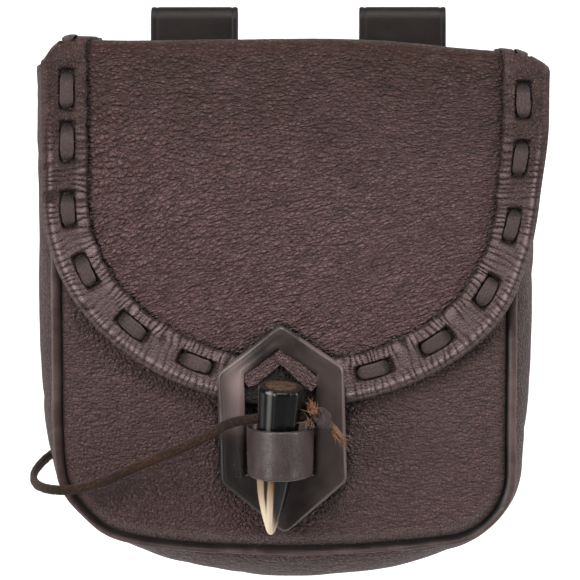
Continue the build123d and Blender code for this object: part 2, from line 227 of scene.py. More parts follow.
class Nodes:
    """Short ways to add and join shader nodes."""

    def __init__(self, name, slot):
        self.material = bpy.data.materials.new(name)
        self.material.use_nodes = True
        self.material["slot"] = slot
        self.tree = self.material.node_tree
        self.shader = self.tree.nodes["Principled BSDF"]
        self.uv = self.add("ShaderNodeUVMap", uv_map=GRAIN_UV).outputs[0]

    def add(self, kind, inputs=None, **settings):
        node = self.tree.nodes.new(kind)
        for key, value in settings.items():
            setattr(node, key, value)
        for key, value in (inputs or {}).items():
            if isinstance(value, bpy.types.NodeSocket):
                self.tree.links.new(value, node.inputs[key])
            else:
                node.inputs[key].default_value = value
        return node

    def scaled(self, x, y, source=None):
        """The flat place, stretched, so that one unit is 1/x by 1/y millimetres."""
        vector = source or self.uv
        return self.add("ShaderNodeMapping", {"Vector": vector, "Scale": (x, y, 1)}).outputs[0]

    def noise(self, vector, scale=1.0, detail=3.0, rough=0.55, warp=0.0):
        node = self.add(
            "ShaderNodeTexNoise",
            {"Vector": vector, "Scale": scale, "Detail": detail, "Roughness": rough, "Distortion": warp},
        )
        return node.outputs[0]

    def cells(self, vector, feature, scale=1.0, jitter=1.0):
        node = self.add("ShaderNodeTexVoronoi", feature=feature)
        self.tree.links.new(vector, node.inputs["Vector"])
        node.inputs["Scale"].default_value = scale
        node.inputs["Randomness"].default_value = jitter
        if feature == "SMOOTH_F1":
            node.inputs["Smoothness"].default_value = 0.35
        return node.outputs["Distance"]

    def math(self, operation, a, b=0.0, clamp=False):
        return self.add("ShaderNodeMath", {0: a, 1: b}, operation=operation, use_clamp=clamp).outputs[0]

    def fit(self, value, low, high, new_low=0.0, new_high=1.0):
        inputs = {"Value": value, 1: low, 2: high, 3: new_low, 4: new_high}
        return self.add("ShaderNodeMapRange", inputs, interpolation_type="SMOOTHSTEP").outputs[0]

    def mix(self, factor, a, b, blend="MIX"):
        node = self.add("ShaderNodeMix", data_type="RGBA", blend_type=blend)
        for socket, value in ((node.inputs[0], factor), (node.inputs[6], a), (node.inputs[7], b)):
            if isinstance(value, bpy.types.NodeSocket):
                self.tree.links.new(value, socket)
            elif socket is node.inputs[0]:
                socket.default_value = value
            else:
                socket.default_value = (*value, 1)
        return node.outputs[2]

    def warped(self, vector, amount, scale):
        """The vector pushed about by noise, so that cells lose their straight sides."""
        colour = self.add("ShaderNodeTexNoise", {"Vector": vector, "Scale": scale, "Detail": 2.0}).outputs[1]
        centred = self.add("ShaderNodeVectorMath", {0: colour, 1: (0.5, 0.5, 0.5)}, operation="SUBTRACT")
        pushed = self.add("ShaderNodeVectorMath", {0: centred.outputs[0]}, operation="SCALE")
        pushed.inputs["Scale"].default_value = amount
        return self.add("ShaderNodeVectorMath", {0: vector, 1: pushed.outputs[0]}).outputs[0]

    def bump(self, height, distance_mm, strength=1.0, normal=None):
        inputs = {"Height": height, "Distance": distance_mm * MM, "Strength": strength}
        if normal:
            inputs["Normal"] = normal
        return self.add("ShaderNodeBump", inputs).outputs[0]

    def toned(self, colour, dark, pale):
        """The colour, darker or paler where the mesh's tone says so: painted shade and painted highlight."""
        tone = self.add("ShaderNodeAttribute", attribute_name=TONE).outputs["Fac"]
        colour = self.mix(self.math("MULTIPLY", tone, -1.0, clamp=True), colour, dark)
        return self.mix(self.math("MULTIPLY", tone, 1.0, clamp=True), colour, pale)

    def finish(self, colour, roughness, normal, **constants):
        for socket, value in (("Base Color", colour), ("Roughness", roughness), ("Normal", normal)):
            self.tree.links.new(value, self.shader.inputs[socket])
        for key, value in constants.items():
            self.shader.inputs[key.replace("_", " ")].default_value = value
        return self.material


def grain_leather(name, slot, upper, lower, turn_over, grain=1.0, relief=0.85, stretch=1.9, rough=(0.33, 0.5), gloss=0.4):
    """Pebbled hide: pebbles drawn out sideways, parted by creases, with redder and olive blotches, painted shade in the
    crevices and creases, and a painted highlight on the pebble tops.

    The colour passes from upper to lower between the two heights in turn_over, on the flat leather.
    """
    n = Nodes(name, slot)
    drift = n.warped(n.scaled(0.028, 0.028), 0.22, 1.0)
    flat = n.scaled(35.7, 35.7, drift)
    cell = n.warped(n.scaled(0.5 / grain / stretch, 0.5 / grain, flat), 0.5, 1.4)
    pebble = n.fit(n.cells(cell, "SMOOTH_F1"), 0.12, 0.7, 1.0, 0.0)
    crevice = n.fit(n.cells(cell, "DISTANCE_TO_EDGE"), 0.0, 0.16)
    long_cell = n.warped(n.scaled(0.085 / grain, 0.34 / grain, flat), 0.8, 1.2)
    crease = n.fit(n.cells(long_cell, "DISTANCE_TO_EDGE"), 0.0, 0.16)
    fine = n.fit(n.cells(n.warped(n.scaled(1.1 / grain, 1.5 / grain, flat), 0.5, 1.0), "SMOOTH_F1"), 0.1, 0.7, 1.0, 0.0)
    soft = n.noise(n.scaled(0.3 / grain, 0.55 / grain, flat), detail=3.0)
    cloud = n.noise(n.scaled(0.03, 0.04), detail=4.0)
    blotch = n.noise(n.scaled(0.11, 0.2), detail=3.0)
    height = n.math("ADD", n.math("MULTIPLY", pebble, 0.55), n.math("MULTIPLY", crevice, 0.25))
    height = n.math("ADD", height, n.math("MULTIPLY", crease, 0.4))
    height = n.math("ADD", height, n.math("MULTIPLY", fine, 0.2))
    height = n.math("ADD", height, n.math("MULTIPLY", soft, 0.9))
    across = n.add("ShaderNodeSeparateXYZ", {0: n.uv}).outputs[1]
    level = n.math("ADD", across, n.math("MULTIPLY", n.math("SUBTRACT", cloud, 0.5), 90.0))
    colour = n.mix(n.fit(level, *turn_over), upper, lower)
    olive = (0.9 * lower[0], 0.95 * lower[1], 0.72 * lower[2])
    colour = n.mix(n.fit(blotch, 0.5, 0.72, 0.0, 0.45), colour, olive)
    colour = n.mix(n.fit(blotch, 0.5, 0.3, 0.0, 0.35), colour, (1.12 * upper[0], 0.86 * upper[1], 0.9 * upper[2]))
    # Painted shade: the colour goes dark in the crevices and creases.
    deep = tuple(0.3 * c for c in upper)
    skin = n.math("MULTIPLY", n.fit(crevice, 0.0, 0.9, 0.45, 1.0), n.fit(crease, 0.0, 0.9, 0.55, 1.0))
    colour = n.mix(skin, deep, colour)
    # Painted highlight: the pebble tops go paler.
    colour = n.mix(n.fit(n.math("MULTIPLY", pebble, skin), 0.5, 1.0, 0.0, 0.25), colour, tuple(1.45 * c for c in lower))
    colour = n.toned(colour, tuple(0.12 * c for c in upper), (2.4 * lower[0], 3.0 * lower[1], 3.2 * lower[2]))
    roughness = n.fit(n.math("ADD", n.math("MULTIPLY", soft, 0.5), n.math("MULTIPLY", pebble, -0.3)), -0.1, 0.4, *rough)
    roughness = n.math("ADD", roughness, n.fit(level, *turn_over, 0.2, 0.0))
    return n.finish(colour, roughness, n.bump(height, relief), Specular_IOR_Level=gloss)


def smooth_leather(name, slot, dark, light, rough=(0.34, 0.5), relief=0.05, gloss=0.5):
    """Vegetable-tanned strap leather: fine pores, faint scuffs and cloudy wax."""
    n = Nodes(name, slot)
    pore = n.cells(n.warped(n.scaled(1.9, 1.9), 0.4, 1.0), "F1")
    cloud = n.noise(n.scaled(0.09, 0.07), detail=5.0, rough=0.6)
    scuff = n.noise(n.scaled(0.9, 0.18), detail=4.0, rough=0.7, warp=0.6)
    colour = n.mix(n.fit(cloud, 0.35, 0.68), dark, light)
    colour = n.mix(n.fit(pore, 0.0, 0.28, 0.45, 0.0), colour, tuple(0.45 * c for c in dark))
    colour = n.mix(n.fit(scuff, 0.55, 0.8, 0.0, 0.3), colour, tuple(1.5 * c for c in light))
    colour = n.toned(colour, tuple(0.15 * c for c in dark), tuple(4.8 * c for c in light))
    roughness = n.fit(n.math("ADD", cloud, n.math("MULTIPLY", scuff, 0.6)), 0.5, 1.1, *rough)
    height = n.math("ADD", n.fit(pore, 0.0, 0.4), n.math("MULTIPLY", scuff, 0.8))
    return n.finish(colour, roughness, n.bump(height, relief), Specular_IOR_Level=gloss)


def suede(name, slot, dark, light, warm):
    """Napped thong: short fibres, uneven dye and no gloss."""
    n = Nodes(name, slot)
    nap = n.noise(n.scaled(2.6, 5.0), detail=4.0, rough=0.7)
    fleck = n.noise(n.scaled(0.7, 1.5), detail=3.0)
    along = n.noise(n.scaled(0.05, 0.0), detail=2.0)
    colour = n.mix(n.fit(nap, 0.35, 0.7), dark, light)
    colour = n.mix(n.fit(n.math("MULTIPLY", fleck, n.math("ADD", along, 0.5)), 0.42, 0.72, 0.0, 0.75), colour, warm)
    colour = n.toned(colour, tuple(0.12 * c for c in dark), tuple(1.6 * c for c in light))
    roughness = n.fit(nap, 0.3, 0.7, 0.78, 0.95)
    return n.finish(colour, roughness, n.bump(nap, 0.35), Specular_IOR_Level=0.15, Sheen_Weight=0.08)


def horn_material():
    """Polished horn: black, with a cream tip that runs up one side in streaks."""
    n = Nodes("horn", "horn")
    split = n.add("ShaderNodeSeparateXYZ", {0: n.uv})
    turn, height = split.outputs[0], split.outputs[1]
    wander = n.noise(n.scaled(0.45, 0.05), detail=4.0, rough=0.6)
    edge_band = n.math("MULTIPLY", n.fit(turn, -11.0, -8.6), n.fit(turn, -5.4, -4.0, 1.0, 0.0))
    front_band = n.math("MULTIPLY", n.fit(turn, -3.2, -2.0), n.fit(turn, -0.4, 1.6, 1.0, 0.0))
    reach = n.math("ADD", n.math("MULTIPLY", edge_band, 25.0), n.math("MULTIPLY", front_band, 14.0))
    reach = n.math("ADD", reach, n.math("ADD", n.fit(turn, -2.0, 5.0, 11.0, 2.0), n.math("MULTIPLY", wander, 6.0)))
    cream_part = n.fit(n.math("SUBTRACT", reach, height), -3.0, 7.0)
    brown_part = n.fit(n.math("SUBTRACT", n.math("ADD", reach, n.math("MULTIPLY", front_band, 9.0)), height), -7.0, 3.0)
    fine = n.noise(n.scaled(2.2, 0.05), detail=3.0)
    colour = n.mix(n.fit(fine, 0.45, 0.75, 0.0, 0.6), (0.003, 0.003, 0.003), (0.014, 0.012, 0.01))
    colour = n.mix(brown_part, colour, (0.1, 0.04, 0.016))
    colour = n.mix(cream_part, colour, n.mix(n.fit(height, 8.0, 24.0), (0.74, 0.6, 0.44), (0.3, 0.19, 0.11)))
    # Painted highlight: a pale grey stripe left of the front, towards the cut end.
    painted_highlight_stripe = n.math("MULTIPLY", n.fit(turn, -5.2, -4.2), n.fit(turn, -3.6, -2.4, 1.0, 0.0))
    painted_highlight_stripe = n.math("MULTIPLY", painted_highlight_stripe, n.fit(height, 32.0, 38.0, 0.0, 0.8))
    colour = n.mix(painted_highlight_stripe, colour, (0.11, 0.108, 0.098))
    roughness = n.fit(fine, 0.3, 0.7, 0.16, 0.28)
    return n.finish(colour, roughness, n.bump(fine, 0.06), Coat_Weight=0.12, Coat_Roughness=0.12, Specular_IOR_Level=0.3)


def horn_cut_material():
    """The horn's sawn and polished end: brown and streaky, darker at the rim."""
    n = Nodes("horn_cut", "horn")
    rings = n.noise(n.scaled(0.22, 0.75), detail=5.0, rough=0.65, warp=1.6)
    fine = n.noise(n.scaled(1.6, 0.4), detail=3.0)
    colour = n.mix(n.fit(rings, 0.35, 0.62), (0.012, 0.007, 0.005), (0.12, 0.06, 0.03))
    colour = n.mix(n.fit(fine, 0.6, 0.8, 0.0, 0.5), colour, (0.42, 0.3, 0.19))
    split = n.add("ShaderNodeSeparateXYZ", {0: n.uv})
    ahead = n.math("SUBTRACT", split.outputs[1], 300.0)
    from_axis = n.math("SQRT", n.math("ADD", n.math("POWER", n.math("ABSOLUTE", split.outputs[0]), 2.0), n.math("POWER", n.math("ABSOLUTE", ahead), 2.0)))
    colour = n.mix(n.fit(from_axis, 4.5, 7.8), colour, (0.012, 0.008, 0.006))
    return n.finish(colour, n.fit(fine, 0.3, 0.7, 0.22, 0.36), n.bump(rings, 0.08), Coat_Weight=0.4)


def fibre_material(name, slot, dark, light):
    n = Nodes(name, slot)
    strand = n.noise(n.scaled(3.5, 0.6), detail=4.0, rough=0.7)
    colour = n.mix(n.fit(strand, 0.35, 0.68), dark, light)
    return n.finish(colour, n.fit(strand, 0.3, 0.7, 0.7, 0.9), n.bump(strand, 0.25), Sheen_Weight=0.2)


def thread_material():
    """Waxed linen thread. CAD nodes have no flat leather map, so the twist runs in object space."""
    n = Nodes("thread", "thread")
    place = n.add("ShaderNodeTexCoord").outputs["Object"]
    twist = n.add("ShaderNodeTexWave", {"Vector": place, "Scale": 700.0, "Distortion": 3.0}).outputs[1]
    wax = n.noise(place, scale=900.0)
    colour = n.mix(n.fit(twist, 0.2, 0.8), (0.035, 0.022, 0.015), (0.13, 0.09, 0.06))
    return n.finish(colour, n.fit(wax, 0.3, 0.7, 0.45, 0.7), n.bump(twist, 0.15), Specular_IOR_Level=0.3)


POUCH = grain_leather("pouch_leather", "pouch_leather", (0.112, 0.062, 0.058), (0.115, 0.057, 0.053), (-60, -190), grain=0.66, relief=1.8, stretch=1.1, gloss=0.38)
FLAP = grain_leather("flap_leather", "flap_leather", (0.048, 0.016, 0.009), (0.138, 0.07, 0.072), (-44, -150), grain=0.66, relief=1.6, stretch=1.6, gloss=0.4)
BORDER = grain_leather("border_leather", "border_leather", (0.042, 0.017, 0.012), (0.12, 0.068, 0.066), (0, 300), grain=0.5, relief=0.6, stretch=1.2, gloss=0.32)
WELT = smooth_leather("welt_leather", "welt_leather", (0.05, 0.028, 0.026), (0.1, 0.062, 0.058))
STRAP = smooth_leather("strap_leather", "strap_leather", (0.006, 0.003, 0.002), (0.011, 0.006, 0.005), rough=(0.5, 0.62), gloss=0.3)
KEEPER = smooth_leather("keeper_leather", "strap_leather", (0.038, 0.025, 0.024), (0.06, 0.042, 0.042), rough=(0.3, 0.42), relief=0.14)
TAB = smooth_leather("tab_leather", "tab_leather", (0.02, 0.013, 0.011), (0.04, 0.028, 0.026), rough=(0.32, 0.42))
LACE = suede("lace_leather", "lace_leather", (0.03, 0.019, 0.018), (0.08, 0.054, 0.052), (0.105, 0.077, 0.075))
THONG = suede("thong_suede", "thong_suede", (0.008, 0.004, 0.003), (0.034, 0.018, 0.011), (0.085, 0.036, 0.018))
HORN = horn_material()
HORN_CUT = horn_cut_material()
FIBRE = fibre_material("frayed_fibre", "thong_suede", (0.09, 0.03, 0.012), (0.5, 0.2, 0.07))
TAIL = fibre_material("frayed_tail", "thong_suede", (0.04, 0.018, 0.009), (0.3, 0.15, 0.06))
THREAD = thread_material()

# ---------------------------------------------------------------------------------------------
# The seam round the pouch's front and back
# ---------------------------------------------------------------------------------------------

back_low, back_high = span("back_panel")
front_low, front_high = span("front_panel")
gusset_low, gusset_high = span("gusset")

SEAM_HALF = back_high[0]
SEAM_BOTTOM = back_low[2]
MOUTH = gusset_high[2]
CORNER_R = 26.0
BOTTOM_R = 500.0
ASIDE = -1.6  # the filled pouch hangs a little to the left under its flap
LEATHER = back_high[1] - back_low[1]

corner_x = SEAM_HALF - CORNER_R
bottom_centre = SEAM_BOTTOM + BOTTOM_R
corner_z = bottom_centre - math.sqrt((BOTTOM_R - CORNER_R) ** 2 - corner_x**2)
corner_turn = math.atan2(bottom_centre - corner_z, corner_x)  # from sideways down to where the arcs meet
bottom_turn = math.pi / 2 - corner_turn
SIDE_RUN = MOUTH - corner_z
CORNER_RUN = CORNER_R * corner_turn
HALF_SEAM = SIDE_RUN + CORNER_RUN + BOTTOM_R * bottom_turn


CORNER_DENT = 4.0  # the lower left corner is this much rounder than the right one


def dented(points):
    """Points (x, z) in the seam's plane with the lower left corner drawn in."""
    away = points - (ASIDE - corner_x, corner_z)
    reach = np.maximum(np.linalg.norm(away, axis=-1, keepdims=True), 1e-6)
    turn = np.arctan2(-away[..., 1:], -away[..., :1])
    pull = CORNER_DENT * np.exp(-(((turn - corner_turn / 2) * CORNER_R / 19) ** 2)) * smooth(reach / CORNER_R)
    return points - away / reach * pull


def seam(s):
    """Points (x, z) and outward normals at distances s along the seam, from the left of the mouth."""
    s = np.asarray(s, float)
    side = np.where(s <= HALF_SEAM, -1.0, 1.0)
    t = np.where(s <= HALF_SEAM, s, 2 * HALF_SEAM - s)
    turn = np.clip((t - SIDE_RUN) / CORNER_R, 0, corner_turn)
    turn = turn + np.clip((t - SIDE_RUN - CORNER_RUN) / BOTTOM_R, 0, bottom_turn)
    out = np.stack([np.cos(turn), -np.sin(turn)], axis=-1)
    on_side = np.stack([np.full_like(t, SEAM_HALF), MOUTH - t], axis=-1)
    on_corner = np.array([corner_x, corner_z]) + CORNER_R * out
    on_bottom = np.array([0, bottom_centre]) + BOTTOM_R * out
    place = np.where((t < SIDE_RUN)[..., None], on_side, on_corner)
    place = np.where((t > SIDE_RUN + CORNER_RUN)[..., None], on_bottom, place)
    flip = np.stack([side, np.ones_like(side)], axis=-1)
    return dented(place * flip + (ASIDE, 0)), out * flip


def seam_floor(x):
    """Height of the seam's lower edge at each x."""
    x = np.abs(x)
    low = bottom_centre - np.sqrt(BOTTOM_R**2 - x**2)
    inside = np.clip((x - corner_x) / CORNER_R, 0, 1)
    corner = corner_z - CORNER_R * np.sqrt(1 - inside**2)
    join = CORNER_R * math.cos(corner_turn) + corner_x
    return np.where(x < join, low, corner)


def seam_distance(x, z):
    """Distance inward from the seam's outline, ignoring the mouth."""
    x = np.abs(x)
    straight = SEAM_HALF - x
    below = BOTTOM_R - np.hypot(x, z - bottom_centre)
    corner = CORNER_R - np.hypot(x - corner_x, z - corner_z)
    in_corner = (x > corner_x) & (z < corner_z)
    return np.where(in_corner, np.minimum(corner, below + 6), np.minimum(straight, np.maximum(below, 0)))


# ---------------------------------------------------------------------------------------------
# Outline of the closure tab, which the leather round it follows
# ---------------------------------------------------------------------------------------------

tab_low, tab_high = span("closure_tab")
TAB_X = (tab_low[0] + tab_high[0]) / 2
TAB_HALF = (tab_high[0] - tab_low[0]) / 2
TAB_OUTLINE = [(-0.2, -93.4), (25.2, -110.4), (26.6, -157.2), (1.6, -178.7), (-24.5, -157.8), (-25.9, -113.4)]
WINDOW = [(-1.3, -103.4), (14.2, -113.8), (13.7, -154.0), (-14.4, -154.0), (-14.6, -114.2)]
TAB_MIDDLE = -134.0


def ray_lengths(outline, angles, round_mm):
    """Distance from the tab's middle to a polygon along each angle, with its corners eased."""
    fine = np.linspace(0, 2 * math.pi, 1441)[:-1]
    ways = np.stack([np.cos(fine), np.sin(fine)], axis=-1)
    points = np.array(outline) - (0, TAB_MIDDLE)
    reach = np.full(len(fine), np.inf)
    for p, q in zip(points, np.roll(points, -1, axis=0)):
        d = q - p
        cross = ways[:, 0] * d[1] - ways[:, 1] * d[0]
        t = (p[0] * d[1] - p[1] * d[0]) / np.where(np.abs(cross) < 1e-9, 1e-9, cross)
        k = (p[0] * ways[:, 1] - p[1] * ways[:, 0]) / np.where(np.abs(cross) < 1e-9, 1e-9, cross)
        good = (t > 0) & (k > -0.001) & (k < 1.001)
        reach = np.where(good & (t < reach), t, reach)
    width = max(3, int(round_mm / (2 * math.pi * 30 / 1440)) | 1)
    kernel = np.hanning(width + 2)[1:-1]
    eased = np.convolve(np.concatenate([reach[-width:], reach, reach[:width]]), kernel / kernel.sum(), mode="same")
    return np.interp(angles, fine, eased[width:-width], period=2 * math.pi)


def in_window(x, z):
    """1 inside the tab's window and 0 outside, easing over half a millimetre."""
    angle = np.arctan2(z - TAB_MIDDLE, x - TAB_X)
    return smooth((ray_lengths(WINDOW, angle, 3.0) - np.hypot(x - TAB_X, z - TAB_MIDDLE)) / 0.8)


def tab_distance(x, z):
    """Distance outward from the tab's edge, below 0 under the tab."""
    angle = np.arctan2(z - TAB_MIDDLE, x - TAB_X)
    return np.hypot(x - TAB_X, z - TAB_MIDDLE) - ray_lengths(TAB_OUTLINE, angle, 5.0)


# ---------------------------------------------------------------------------------------------
# Pouch body
# ---------------------------------------------------------------------------------------------


def panel_grid(top, columns, rows):
    """Places (x, z) that fill the seam's outline below the height top, closer together at the sides."""
    u = np.linspace(-1, 1, columns)
    x = SEAM_HALF * np.sin(u * math.pi / 2) * 0.35 + SEAM_HALF * u * 0.65
    floor = seam_floor(x)
    v = np.linspace(0, 1, rows)[:, None]
    z = top + (floor[None, :] - top) * v
    return np.broadcast_to(x, z.shape), z


def front_panel():
    """Soft front: rounded towards the seam, sagging a little, with shallow creases."""
    x, z = panel_grid(front_high[2], 200, 200)
    edge = np.clip(seam_distance(x, z), 0, None)
    rise = np.sqrt(1 - (1 - np.clip(edge / 7.5, 0, 1)) ** 2)
    rear = -front_high[1] - 0.9
    full = -front_low[1]
    pillow = 0.9 * smooth((edge - 6) / 30) * np.sin(np.clip((-z - 105) / 78, 0, 1) * math.pi)
    crease = 0.35 * ridges(x / 34 + 3, z / 11 + 0.3 * np.sin(x / 30), 5) * smooth(edge / 14)
    gather = 0.3 * noise(x / 14, z / 3.6, 9) * smooth(edge / 8) * smooth((z + 135) / 25)
    lump = 0.35 * fractal(x / 22, z / 22, 3)
    y = -(rear + (full - rear) * rise + pillow + lump - crease + gather - 0.5)
    # A shallow hollow where the tab presses the panel.
    press = np.exp(-(((x + 2.4) / 27) ** 4)) * np.exp(-(((z + 135) / 44) ** 4))
    y = y + 0.9 * press
    beyond = tab_distance(x + ASIDE, z)
    near = np.exp(-((np.clip(beyond, 0, None) / 2.2) ** 2)) * (beyond > -4)
    whisker = noise(np.arctan2(z + 134, x + 2.4) * 26, beyond / 5, 11)
    y = y + near * (0.5 + 0.35 * whisker)
    # Painted shade: a dark halo round the tab, broken by the whiskers, a dark line along the seam edge, and dark inside
    # the tab's window.
    tone = -0.85 * near * np.clip(0.75 + 0.5 * whisker, 0, 1) - np.exp(-((edge / 1.2) ** 2)) - 1.2 * in_window(x + ASIDE, z)
    inset = 1 - 0.5 / SEAM_HALF
    flat = np.stack([x, z], axis=-1)
    x, z = np.moveaxis(dented(flat * inset + (ASIDE, 0)), -1, 0)
    outer = np.stack([x, y, z], axis=-1)
    depth = np.minimum(LEATHER * 0.9, 1.2 + edge)
    inner = np.stack([x, np.minimum(y + depth, front_high[1] + 0.4), z], axis=-1)
    piece = sheet_piece("pouch_front", outer, inner, flat, POUCH, "pouch", tone=np.clip(tone, -1, 0))
    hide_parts("front_panel")


def back_panel():
    x, z = panel_grid(back_high[2] - 7, 120, 140)
    edge = np.clip(seam_distance(x, z), 0, None)
    wave = 0.25 * fractal(x / 30, z / 30, 21) * smooth(edge / 20)
    flat = np.stack([x + 400, z], axis=-1)
    x, z = np.moveaxis(dented(np.stack([x + ASIDE, z], axis=-1)), -1, 0)
    outer = np.stack([x, back_high[1] + np.minimum(wave, 0), z], axis=-1)
    inner = np.stack([x, back_low[1] + 0 * x, z], axis=-1)
    piece = sheet_piece("pouch_back", outer, inner, flat, POUCH, "pouch")
    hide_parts("back_panel")


def bulge(s):
    """How far the gusset swells at each distance along the seam: least at the corners, most below."""
    t = np.where(s <= HALF_SEAM, s, 2 * HALF_SEAM - s)
    right = smooth((s - HALF_SEAM) / 40)
    left_corner = np.exp(-(((s - SIDE_RUN - CORNER_RUN * 0.75) / 24) ** 2))
    marks = [0, 30, 110, 150, SIDE_RUN, SIDE_RUN + CORNER_RUN * 0.6, SIDE_RUN + CORNER_RUN, HALF_SEAM - 40, HALF_SEAM]
    sizes = [12.0, 12.0, 11.9, 9.9, 7.9, 5.6, 7.0, 13.4, 16.9]
    more = 1.7 * right * smooth((HALF_SEAM - t) / 12) * (1 - smooth((HALF_SEAM - t - 60) / 30))
    return np.interp(t, marks, sizes) + more - 1.2 * left_corner


def gusset():
    """Side and bottom band, with small gathers at both seams."""
    s = np.linspace(0, 2 * HALF_SEAM, 420)[:, None]
    across = np.linspace(-1, 1, 60)[None, :]
    place, out = seam(s[:, 0])
    size = bulge(s[:, 0])
    size = np.convolve(np.pad(size, 12, mode="edge"), np.ones(25) / 25, mode="valid")[:, None]
    arch = np.cos(across * math.pi / 2) ** 0.62
    swell = size * arch
    pucker = 0.28 * noise(s / 2.6, across * 1.5, 31) * np.abs(across) ** 3
    fold = 0.7 * ridges(s / 30, across * 0.9 + 2, 37) * (1 - across**2)
    lump = 0.5 * fractal(s / 26, across * 1.6, 33) * (1 - across**2)
    centre_y = (gusset_low[1] + gusset_high[1]) / 2
    half_y = (gusset_high[1] - gusset_low[1]) / 2
    y = np.broadcast_to(centre_y + half_y * across, swell.shape)

    from_mouth = np.minimum(s, 2 * HALF_SEAM - s)
    lip = np.where(s > HALF_SEAM, 1.0 + 5.5 * arch**2, 3.0 * arch**2) * (1 - smooth(from_mouth / 18))

    def surface(grow):
        reach = grow + pucker + lump - fold
        return np.stack([place[:, :1] + out[:, :1] * reach, y, place[:, 1:] + out[:, 1:] * reach - lip], axis=-1)

    outer, inner = surface(swell), surface(swell - LEATHER * 0.85)
    flat = np.stack([np.broadcast_to(s, y.shape), y * 1.15 + 300], axis=-1)
    piece = sheet_piece("pouch_gusset", outer, inner, flat, POUCH, "pouch")
    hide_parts("gusset")


def welt(name, node, proud, forward):
    """Raw-edged strip in a seam. Its lip stands proud and wanders slightly."""
    low, high = span(node)
    s = np.linspace(0, 2 * HALF_SEAM, 620)
    place, out = seam(s)
    middle = (low[1] + high[1]) / 2
    thick = high[1] - low[1] - 0.1
    turn = np.linspace(0, 2 * math.pi, 16, endpoint=False)
    section = np.stack([np.sign(np.cos(turn)) * np.abs(np.cos(turn)) ** 0.6, np.sign(np.sin(turn)) * np.abs(np.sin(turn)) ** 0.6], axis=-1)
    wander = 0.22 * fractal(s / 9, 0 * s, 41)[:, None]
    from_mouth = np.minimum(s, 2 * HALF_SEAM - s)[:, None]
    grow = proud - 2.6 - 1.3 * smooth((from_mouth - SIDE_RUN) / 24) + 2.6 * section[None, :, 0] + wander
    tuck = np.where(s[:, None] > HALF_SEAM, 4.5, 1.0) * (1 - smooth(from_mouth / 14))
    y = middle - forward * smooth((grow - 0.3) / 1.0) + section[None, :, 1] * thick / 2 + 0.15 * fractal(s / 7, 0 * s, 43)[:, None]
    rings = np.stack([place[:, :1] + out[:, :1] * grow, y, place[:, 1:] + out[:, 1:] * grow - tuck], axis=-1)
    flat = np.stack([np.broadcast_to(s[:, None], y.shape), np.broadcast_to(turn * 1.2, y.shape)], axis=-1)
    # Painted shade: the strip goes dark where it sinks into the seam.
    piece = tube_piece(name, rings, flat, WELT, "pouch", tone=-1.0 + smooth((grow - 0.5) / 0.5))
    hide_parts(node)


front_panel()
back_panel()
gusset()
welt("seam_welt_front", "front_welt", 3.7, 1.5)
welt("seam_welt_back", "back_welt", 2.0, 0.0)

# ---------------------------------------------------------------------------------------------
# Flap: one sheet over the mouth, described by x across it and w along it from its back fold
# ---------------------------------------------------------------------------------------------

top_low, top_high = span("flap_top")
drop_low, drop_high = span("flap_drop")
strip_low, strip_high = span("flap_border")
border_corner = span("flap_border_top_left")[1][0]

FLAP_X = (drop_low[0] + drop_high[0]) / 2
FLAP_HALF = (drop_high[0] - drop_low[0]) / 2 - 1.0
BAND = border_corner - drop_low[0] - 1.0
STRIP = strip_high[1] - strip_low[1]
FRONT_R = 7.2
BACK_R = 4.0
BACK_Y = (back_low[1] + back_high[1]) / 2
TOP_Z = top_high[2] - LEATHER / 2
DROP_Y = (drop_low[1] + drop_high[1]) / 2
ROUND_Z = -45.0
ROUND_DROP = ROUND_Z - drop_low[2]

BACK_ARC = BACK_R * math.pi / 2
FRONT_ARC = FRONT_R * math.pi / 2
TOP_RUN = (BACK_Y - BACK_R) - (DROP_Y + FRONT_R)
W_TOP = BACK_ARC + TOP_RUN
W_DROP = W_TOP + FRONT_ARC
DROP_TOP_Z = TOP_Z - FRONT_R
W_ROUND = W_DROP + DROP_TOP_Z - ROUND_Z
W_END = W_ROUND + ROUND_DROP
W_MIDDLE = BACK_ARC + TOP_RUN / 2  # the flap's two pieces meet here


